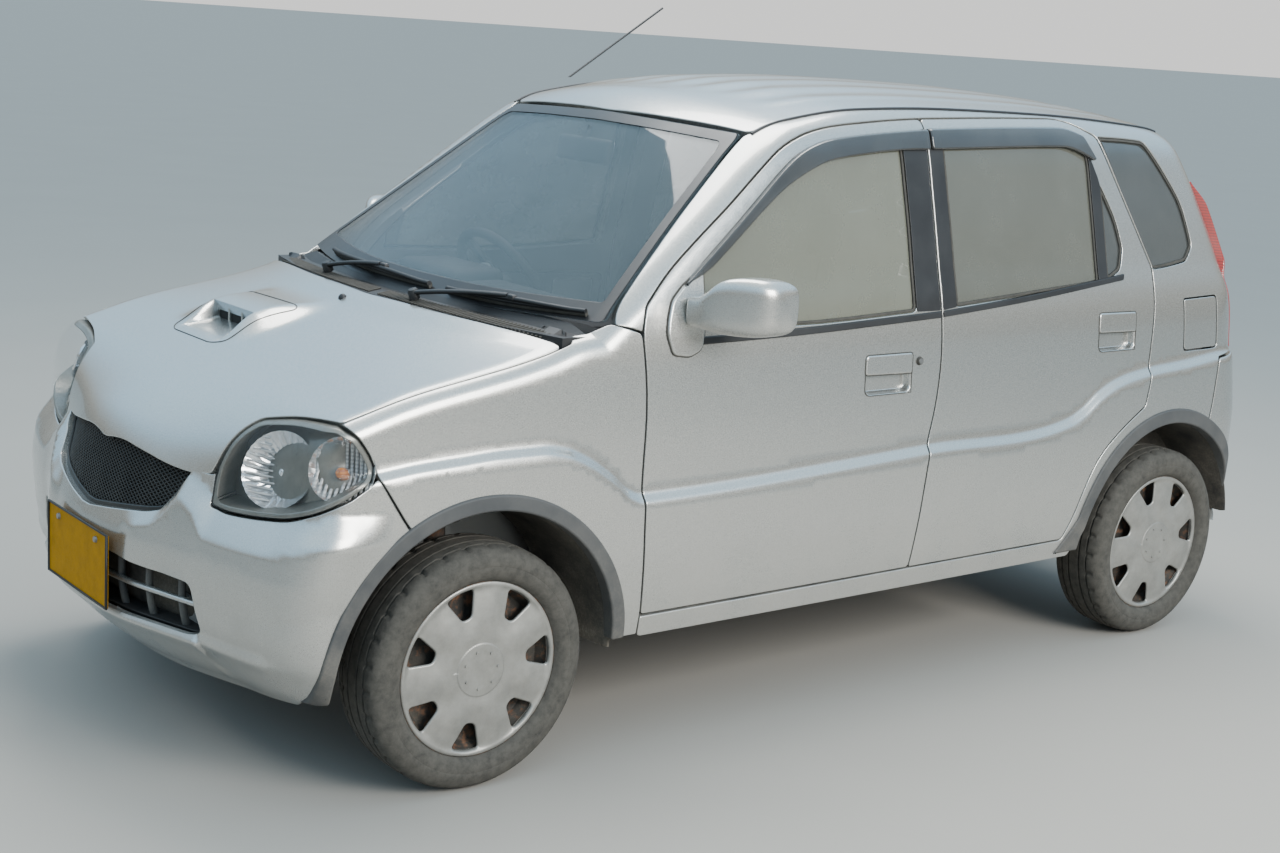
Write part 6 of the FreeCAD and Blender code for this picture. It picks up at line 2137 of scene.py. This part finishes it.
# Seats: side outlines in millimetres (x, z), the width from y0 to y1, the way the soft face
# looks, how far its middle is hollowed, and where seams run across and along it
seats = {
    "voxel": 0.0135,
    "benchVoxel": 0.016,
    "pressure": 4.0,
    "steps": 20,
    "cap": 0.016,
    "inset": 0.012,
    "seamDepth": 0.0055,
    "seamWidth": 0.006,
    "parts": {
        "front_cushion": {
            "outline": [(-165, 428), (-158, 530), (60, 532), (300, 568), (340, 528), (338, 450),
                        (300, 428)],
            "y": (0.092, 0.528), "face": (0.1, 1.0), "hollow": 0.020, "side": 0.145,
            "across": [((0.055, 0.55), (1.0, 0.0)), ((0.175, 0.55), (1.0, 0.0))],
            "paired": True},
        "front_backrest": {
            "outline": [(-168, 560), (-186, 470), (-252, 640), (-325, 1000), (-300, 1034),
                        (-232, 1036), (-206, 940), (-110, 700), (-66, 560), (-108, 536)],
            "y": (0.107, 0.513), "face": (1.0, 0.25), "hollow": 0.022, "side": 0.125,
            "across": [((-0.14, 0.76), (0.25, 0.97)), ((-0.17, 0.90), (0.25, 0.97))],
            "paired": True},
        "front_headrest": {
            "outline": [(-322, 1062), (-340, 1196), (-276, 1212), (-244, 1160), (-246, 1066)],
            "y": (0.192, 0.428), "face": (1.0, 0.1), "hollow": 0.004, "side": 0.09,
            "across": [], "paired": True},
        "rear_cushion": {
            "outline": [(-975, 430), (-978, 552), (-760, 556), (-546, 576), (-510, 524),
                        (-518, 430)],
            "y": (-0.522, 0.522), "face": (0.0, 1.0), "hollow": 0.0, "side": 0.0,
            "across": [((-0.64, 0.57), (1.0, 0.0)), ((-0.80, 0.57), (1.0, 0.0))],
            "paired": False},
        "rear_backrest": {
            "outline": [(-1014, 566), (-1042, 1000), (-1064, 1012), (-1112, 1000),
                        (-1100, 566)],
            "y": (-0.522, 0.522), "face": (1.0, 0.1), "hollow": 0.0, "side": 0.0,
            "across": [((-1.03, 0.72), (0.1, 1.0)), ((-1.035, 0.88), (0.1, 1.0))],
            "paired": False},
        "rear_headrest": {
            "outline": [(-1118, 1022), (-1122, 1112), (-1092, 1126), (-1062, 1108),
                        (-1060, 1024)],
            "y": (0.192, 0.388), "face": (1.0, 0.0), "hollow": 0.0, "side": 0.08,
            "across": [], "paired": True},
    },
}


def evaluated(item):
    graph = bpy.context.evaluated_depsgraph_get()
    return bpy.data.meshes.new_from_object(item.evaluated_get(graph))


def coordinates(mesh):
    found = np.empty(len(mesh.vertices) * 3, np.float64)
    mesh.vertices.foreach_get("co", found)
    return found.reshape(-1, 3)


def padStart(part):
    # The closed form before it is filled: rounded rings stacked across the car
    ring = refine(soften(np.array(part["outline"], float) / 1000, 0.035, True), 0.016, True)
    ring = ring if turnedArea(ring) > 0 else ring[::-1]
    face = np.array(part["face"]) / np.linalg.norm(part["face"])
    low, high = part["y"]
    middle = (low + high) / 2
    turn = 0.034
    places = [low + turn * (1 - math.cos(a)) for a in np.linspace(0.25, math.pi / 2, 5)]
    places += list(np.arange(low + turn + 0.03, high - turn - 0.02, 0.03))
    places += [high - (p - low) for p in reversed(places[:5])]
    sections = []
    for y in places:
        near = min(y - low, high - y, turn)
        extra = turn - math.sqrt(max(turn ** 2 - (turn - near) ** 2, 0))
        one = drawIn(ring, seats["inset"] + extra * 0.55)
        reach = one @ face
        soft = softStep((reach - reach.min()) / np.ptp(reach), 0.4, 0.9)
        dip = part["hollow"] * (1 - softStep(abs(y - middle), part["side"] - 0.04,
                                             part["side"] + 0.02))
        one = one - face * (soft * dip)[:, None]
        sections.append(np.column_stack([one[:, 0], np.full(len(one), y), one[:, 1]]))
    maker = bmesh.new()
    loft(maker, sections)
    cleanMesh(maker)
    mesh = bpy.data.meshes.new("pad start")
    maker.to_mesh(mesh)
    maker.free()
    item = bpy.data.objects.new("pad start", mesh)
    bpy.context.scene.collection.objects.link(item)
    grid = item.modifiers.new("grid", "REMESH")
    grid.mode = "VOXEL"
    grid.voxel_size = seats["voxel"] if part["side"] else seats["benchVoxel"]
    item.data = evaluated(item)
    item.modifiers.remove(grid)
    return item


def fillPads(items):
    # All cushions are blown up together, and held at the back or underside
    starts = {}
    for key, item in items.items():
        starts[key] = coordinates(item.data)
        face = np.array(seats["parts"][key]["face"])
        reach = starts[key][:, [0, 2]] @ face
        held = item.vertex_groups.new(name="held")
        held.add([int(i) for i in np.nonzero(reach < reach.min() + 0.02)[0]], 1.0, "ADD")
        cloth = item.modifiers.new("cloth", "CLOTH")
        cloth.settings.use_pressure = True
        cloth.settings.uniform_pressure_force = seats["pressure"]
        cloth.settings.effector_weights.gravity = 0
        cloth.settings.vertex_group_mass = "held"
    for frameNumber in range(1, seats["steps"] + 1):
        bpy.context.scene.frame_set(frameNumber)
    graph = bpy.context.evaluated_depsgraph_get()
    for key, item in items.items():
        filled = coordinates(item.evaluated_get(graph).data)
        shift = filled - starts[key]
        far = np.linalg.norm(shift, axis=1, keepdims=True)
        shift = shift * np.minimum(1, seats["cap"] / np.maximum(far, 1e-9))
        starts[key] = starts[key] + np.nan_to_num(shift)
    for key, item in items.items():
        item.modifiers.clear()
        item.data.vertices.foreach_set("co", starts[key].ravel())
        item.data.update()
    bpy.context.scene.frame_set(1)


def sewPad(item, part):
    # One subdivision, then seams pressed in
    smooth = item.modifiers.new("smooth", "SUBSURF")
    smooth.levels = 1
    smooth.render_levels = 1
    mesh = evaluated(item)
    item.modifiers.clear()
    points = coordinates(mesh)
    normals = np.empty(len(points) * 3, np.float32)
    mesh.vertices.foreach_get("normal", normals)
    normals = normals.reshape(-1, 3)
    middle = sum(part["y"]) / 2
    away = []
    if part["side"]:
        away.append(np.abs(np.abs(points[:, 1] - middle) - part["side"]))
    elif part["hollow"] == 0:
        away.append(np.abs(points[:, 1]))
        away.append(np.abs(np.abs(points[:, 1]) - 0.26))
    face = np.array(part["face"]) / np.linalg.norm(part["face"])
    front = softStep(normals[:, [0, 2]] @ face, 0.2, 0.6)
    inside = front if not part["side"] else front * (
        np.abs(points[:, 1] - middle) < part["side"])
    press = np.zeros(len(points))
    for distance in away:
        press = np.maximum(press, np.exp(-(distance / seats["seamWidth"]) ** 2))
    for spot, line in part["across"]:
        distance = np.abs((points[:, [0, 2]] - spot) @ (np.array(line)
                                                        / np.linalg.norm(line)))
        press = np.maximum(press, np.exp(-(distance / seats["seamWidth"]) ** 2) * inside)
    points = points - normals * (press * seats["seamDepth"])[:, None]
    mesh.vertices.foreach_set("co", points.ravel())
    mesh.polygons.foreach_set("use_smooth", [True] * len(mesh.polygons))
    mesh.update()
    bpy.data.objects.remove(item)
    return mesh


def keepPad(name, mesh, material, replaced=()):
    mesh.name = name
    mesh.materials.clear()
    mesh.materials.append(material)
    item = bpy.data.objects.new(name, mesh)
    bpy.context.scene.collection.objects.link(item)
    finishPiece(item, "body", replaced)


def makeSeats(values):
    items = {key: padStart(part) for key, part in values["parts"].items()}
    fillPads(items)
    for key, part in values["parts"].items():
        mesh = sewPad(items[key], part)
        material = seatSide if "headrest" in key else seatCloth
        node = {"front_cushion": ("front_seats",), "rear_cushion": ("rear_bench",)}.get(key, ())
        if not part["paired"]:
            keepPad(key, mesh, material, node)
            continue
        other = mesh.copy()
        points = coordinates(other)
        points[:, 1] *= -1
        other.vertices.foreach_set("co", points.ravel())
        other.flip_normals()
        other.update()
        keepPad(key + "_left", mesh, material, node)
        keepPad(key + "_right", other, material)
    for sign, label in ((1, "left"), (-1, "right")):
        maker = bmesh.new()
        addBlock(maker, (-0.145, 0.135, 0.285), (0.295, 0.485, 0.432), 0.018)
        addBlock(maker, (-0.175, 0.490, 0.405), (0.150, 0.526, 0.485), 0.012)
        addBlock(maker, (-0.185, 0.505, 0.480), (-0.090, 0.526, 0.580), 0.010)
        flipMaker(maker, sign)
        fromMaker("seat_base_" + label, maker, cabinDark, "body")
        rails = [[(-0.15, y * sign, 0.272), (0.30, y * sign, 0.272)] for y in (0.16, 0.46)]
        sweepPaths("seat_rails_" + label, rails, 0.013, steelBare, "body", 0.8, 8)
        posts = [[(-0.289, y * sign, 1.015), (-0.292, y * sign, 1.085)] for y in (0.26, 0.36)]
        posts += [[(-1.09, y * sign, 0.99), (-1.09, y * sign, 1.045)] for y in (0.25, 0.33)]
        sweepPaths("headrest_posts_" + label, posts, 0.006, steelBare, "body", 1.0, 10)


# Cabin: places in metres
cabin = {
    "binnacle": (0.470, 0.640, -0.440, -0.150, 0.930, 1.010),
    "console": (0.452, 0.500, -0.090, 0.090, 0.720, 0.930),
    "vents": [(-0.485, 0.858), (-0.060, 0.900), (0.060, 0.900), (0.485, 0.858)],
    "mirror": (0.352, 0.0, 1.338),
    "lever": (0.335, 0.0, 0.560),
}


def makeDashDetails(values):
    maker = bmesh.new()
    x0, x1, y0, y1, z0, z1 = values["binnacle"]
    addBlock(maker, (x0, y0, z0), (x1, y1, z1), 0.028, 5)
    addBlock(maker, (0.486, -0.535, 0.958), (0.700, 0.535, 0.982), 0.010)
    fromMaker("dash_top", maker, cabinDark, "body")
    maker = bmesh.new()
    x0, x1, y0, y1, z0, z1 = values["console"]
    addBlock(maker, (x0, y0, z0), (x1, y1, z1), 0.010)
    for row, height in ((0.880, 0.046), (0.818, 0.046)):
        addBlock(maker, (x0 - 0.006, y0 + 0.014, row - height / 2),
                 (x0 + 0.010, y1 - 0.014, row + height / 2), 0.004)
    for y in (-0.055, 0.0, 0.055):
        addLathe(maker, [(-0.004, 0.001), (-0.004, 0.018), (0.014, 0.016), (0.018, 0.001)],
                 (x0, y, 0.757), (-1, 0, 0), 20)
    fromMaker("dash_console", maker, cabinDark, "body")
    maker = bmesh.new()
    for y, z in values["vents"]:
        addBlock(maker, (0.462, y - 0.045, z - 0.028), (0.486, y + 0.045, z + 0.028), 0.006)
        for k in range(4):
            height = z - 0.018 + k * 0.012
            addBlock(maker, (0.454, y - 0.038, height - 0.0018),
                     (0.470, y + 0.038, height + 0.0018), 0.0008)
    fromMaker("dash_vents", maker, cabinGrey, "body")
    maker = bmesh.new()
    for y, radius in ((-0.345, 0.034), (-0.262, 0.040)):
        addLathe(maker, [(0.0, 0.001), (0.0, radius), (0.006, radius), (0.003, radius - 0.004),
                         (0.001, 0.001)], (0.469, y, 0.970), (-1, 0, 0), 36)
    fromMaker("dials", maker, lampWhite, "body")
    maker = bmesh.new()
    addBlock(maker, (0.456, 0.130, 0.640), (0.486, 0.500, 0.800), 0.014)
    addBlock(maker, (0.450, 0.270, 0.765), (0.460, 0.360, 0.785), 0.004)
    fromMaker("glove_box", maker, cabinGrey, "body")
    x, y, z = values["lever"]
    sweepPaths("gear_stick", [[(x + 0.03, y, z - 0.16), (x, y, z)]], 0.007, steelBare, "body",
               1.0, 10)
    maker = bmesh.new()
    addLathe(maker, [(-0.022, 0.001), (-0.020, 0.014), (0.0, 0.021), (0.018, 0.018),
                     (0.026, 0.001)], (x, y, z), (-0.1, 0, 1), 24)
    addBlock(maker, (x - 0.09, -0.075, z - 0.205), (x + 0.12, 0.075, z - 0.150), 0.016)
    fromMaker("gear_knob", maker, cabinDark, "body")
    x, y, z = values["mirror"]
    maker = bmesh.new()
    addBlock(maker, (x - 0.014, y - 0.110, z - 0.032), (x + 0.014, y + 0.110, z + 0.032),
             0.013, 4, Matrix.Rotation(math.radians(-8), 4, "Y"))
    fromMaker("inside_mirror", maker, cabinDark, "body")
    sweepPaths("inside_mirror_stem", [[(x + 0.004, y, z + 0.020), (x - 0.008, y, z + 0.045),
                                       (x - 0.014, y, z + 0.058)]], 0.008, cabinDark,
               "body", 1.0, 10)
    maker = bmesh.new()
    addBlock(maker, (x - 0.0165, y - 0.102, z - 0.025), (x - 0.013, y + 0.102, z + 0.025),
             0.001, 1, Matrix.Rotation(math.radians(-8), 4, "Y"))
    fromMaker("inside_mirror_glass", maker, chrome, "body")


def makeDoorTrims():
    lines = {
        "front": [(590, 372), (606, 624), (600, 829), (585, 905), (480, 932), (-222, 908),
                  (-206, 748), (-184, 650), (-152, 372)],
        "rear": [(-300, 372), (-330, 650), (-366, 748), (-374, 905), (-1070, 935),
                 (-1086, 800), (-1062, 735), (-985, 690), (-890, 600), (-836, 500),
                 (-792, 372)]}
    for door, line in lines.items():
        outline = sideRun(line + line[:1], 26.0)[:-1]
        data = shellData(outline, "side", 0.010, lift=-0.052, edge=0.004, gap=0, step=0.045,
                         run=0.024)
        bodies = (door + "_door_left", door + "_door_right")
        makePair(door + "_door_trim", data, bodies, (cabinGrey, cabinGrey))
        x0, x1 = (-0.130, 0.330) if door == "front" else (-0.960, -0.560)
        for sign, label in ((1, "left"), (-1, "right")):
            maker = bmesh.new()
            addBlock(maker, (x0, 0.590, 0.672), (x1, 0.652, 0.712), 0.016, 4)
            addBlock(maker, (x1 - 0.16, 0.622, 0.790), (x1 - 0.05, 0.648, 0.822), 0.008)
            flipMaker(maker, sign)
            fromMaker(door + "_armrest_" + label, maker, cabinDark, door + "_door_" + label)


def makeLinings():
    half = onSkin("top", [(150, 0), (120, 250), (60, 440), (-300, 470), (-1100, 452),
                          (-1190, 400), (-1210, 0)], 60.0)
    data = shellData(bothSides(half), "top", 0.006, lift=-0.034, edge=0.002, gap=0, step=0.05)
    makePanel("headlining", data, "body", (headlining, headlining))
    for sign, label in ((1, "left"), (-1, "right")):
        maker = bmesh.new()
        addBlock(maker, (-0.480, 0.108, 0.2525), (0.560, 0.600, 0.2605), 0.003, 2)
        flipMaker(maker, sign)
        fromMaker("carpet_" + label, maker, carpet, "body")
        centre = np.array(archCentres["rear"]) / 1000
        maker = bmesh.new()
        arc = [(centre[0] + 0.384 * math.cos(a), centre[1] + 0.384 * math.sin(a))
               for a in np.radians(np.linspace(8, 168, 40))]
        loft(maker, [[(x, y, z) for x, z in arc] for y in (0.532, 0.540)])
        flipMaker(maker, sign)
        fromMaker("wheelhouse_wall_" + label, maker, linerBlack, "body")
    maker = bmesh.new()
    addBlock(maker, (-1.490, -0.490, 0.4255), (-1.125, 0.490, 0.4320), 0.002, 2)
    fromMaker("luggage_carpet", maker, carpet, "body")


def makeEngineBay():
    maker = bmesh.new()
    addBlock(maker, (1.020, 0.330, 0.640), (1.200, 0.460, 0.800), 0.008)
    addBlock(maker, (1.015, 0.325, 0.790), (1.205, 0.465, 0.812), 0.004)
    fromMaker("battery", maker, trimBlack, "body")
    maker = bmesh.new()
    addBlock(maker, (0.960, -0.470, 0.690), (1.060, -0.380, 0.820), 0.020, 4)
    addLathe(maker, [(0.0, 0.001), (0.0, 0.022), (0.018, 0.022), (0.022, 0.001)],
             (1.01, -0.425, 0.820), (0, 0, 1), 24)
    fromMaker("washer_bottle", maker, lampWhite, "body")


def makeRearDetails():
    arm = onSkin("back", [(0, 1085), (-60, 1092), (-180, 1112), (-215, 1120)])
    arm = arm - np.array([0.018, 0, 0])
    sweepPaths("rear_wiper_arm", [arm], 0.007, trimBlack, "tailgate", 0.7, 10)
    blade = onSkin("back", [(-70, 1112), (-330, 1136)])
    sweepPaths("rear_wiper_blade", [blade - np.array([0.010, 0, 0])], 0.0058, sealRubber,
               "tailgate", 1.5, 8)
    hub = onSkin("back", [(0, 1085), (1, 1085)])[:1]
    putStuds("rear_wiper_hub", hub - np.array([0.002, 0, 0]), [(-1, 0, 0.35)], 0.022, 0.022,
             trimBlack, "tailgate", 24)
    outline = bothSides(onSkin("back", [(0, 1048), (250, 1044), (262, 1018), (0, 1016)], 10.0))
    data = shellData(outline, "rear", 0.016, lift=0.012, edge=0.005, gap=0, step=0.02)
    makePanel("tailgate_handle", data, "tailgate", (paintSilver, trimBlack))
    spot = onSkin("back", [(0, 925), (1, 925)])[0]
    maker = bmesh.new()
    lean = Matrix.Rotation(math.radians(7), 4, "Y")
    addBlock(maker, (spot[0] - 0.010, -0.165, 0.8425), (spot[0] - 0.007, 0.165, 1.0075),
             0.001, 1, lean)
    fromMaker("rear_plate", maker, plateAmber, "tailgate")
    maker = bmesh.new()
    addBlock(maker, (spot[0] - 0.007, -0.176, 0.832), (spot[0] + 0.020, 0.176, 1.018), 0.006,
             3, lean)
    fromMaker("rear_plate_seat", maker, trimBlack, "tailgate")


makeSeats(seats)
print("stage: seats made")
makeDashDetails(cabin)
makeDoorTrims()
makeLinings()
makeEngineBay()
makeRearDetails()
print("stage: cabin and rear details made")


studio = {
    "floor": (0.36, 0.335, 0.30),
    "backdrop": (0.60, 0.60, 0.59),
    "sky": (0.80, 0.93, 1.0),
    "skyStrength": 1.75,
    "key": 520.0,
    "fill": 260.0,
}


def makeFloor(values):
    mesh = bpy.data.meshes.new("floor")
    maker = bmesh.new()
    bmesh.ops.create_grid(maker, x_segments=8, y_segments=8, size=300.0)
    maker.to_mesh(mesh)
    maker.free()
    item = bpy.data.objects.new("floor", mesh)
    bpy.context.scene.collection.objects.link(item)
    material, tree, shader = newMaterial("floor", rough=0.85)
    place = addNode(tree, "ShaderNodeTexCoord").outputs["Object"]
    cloud = addNode(tree, "ShaderNodeTexNoise", {
        "Vector": place, "Scale": 1.4, "Detail": 5.0}).outputs["Fac"]
    tone = mixColour(tree, cloud, values["floor"], tuple(c * 0.93 for c in values["floor"]))
    tree.links.new(tone, shader.inputs["Base Color"])
    mesh.materials.append(material)


def addArea(name, place, target, size, power, colour):
    data = bpy.data.lights.new(name, "AREA")
    data.shape = "RECTANGLE"
    data.size, data.size_y = size
    data.energy = power
    data.color = colour
    item = bpy.data.objects.new(name, data)
    bpy.context.scene.collection.objects.link(item)
    aim = (Vector(target) - Vector(place)).normalized()
    item.matrix_world = Matrix.Translation(place) @ aim.to_track_quat("-Z", "Y").to_matrix(
        ).to_4x4()


def makeStudio(values):
    makeFloor(values)
    world = bpy.data.worlds.new("studio")
    world.use_nodes = True
    tree = world.node_tree
    background = tree.nodes["Background"]
    place = addNode(tree, "ShaderNodeTexCoord").outputs["Generated"]
    height = addNode(tree, "ShaderNodeSeparateXYZ", {"Vector": place}).outputs["Z"]
    tone = addRamp(tree, mapRange(tree, height, -0.2, 1.0), [
        (0.0, (0.12, 0.115, 0.10)), (0.17, (0.13, 0.125, 0.11)), (0.25, (0.25, 0.235, 0.195)),
        (0.36, (0.33, 0.40, 0.45)), (0.50, (0.40, 0.62, 0.82)), (0.72, (0.50, 0.74, 0.94)),
        (1.0, values["sky"])])
    seen = addNode(tree, "ShaderNodeLightPath").outputs["Is Camera Ray"]
    tone = mixColour(tree, seen, tone, values["backdrop"])
    tree.links.new(tone, background.inputs["Color"])
    background.inputs["Strength"].default_value = values["skyStrength"]
    bpy.context.scene.world = world
    addArea("key light", (-0.4, 6.2, 3.4), (0.6, 0.4, 0.7), (3.4, 2.4), values["key"],
            (1.0, 0.98, 0.93))
    addArea("top light", (-0.6, -1.2, 5.0), (0.7, 0.3, 0.8), (3.0, 3.0), values["fill"],
            (1.0, 0.99, 0.96))


makeStudio(studio)
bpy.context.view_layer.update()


print("stage: scene finished")
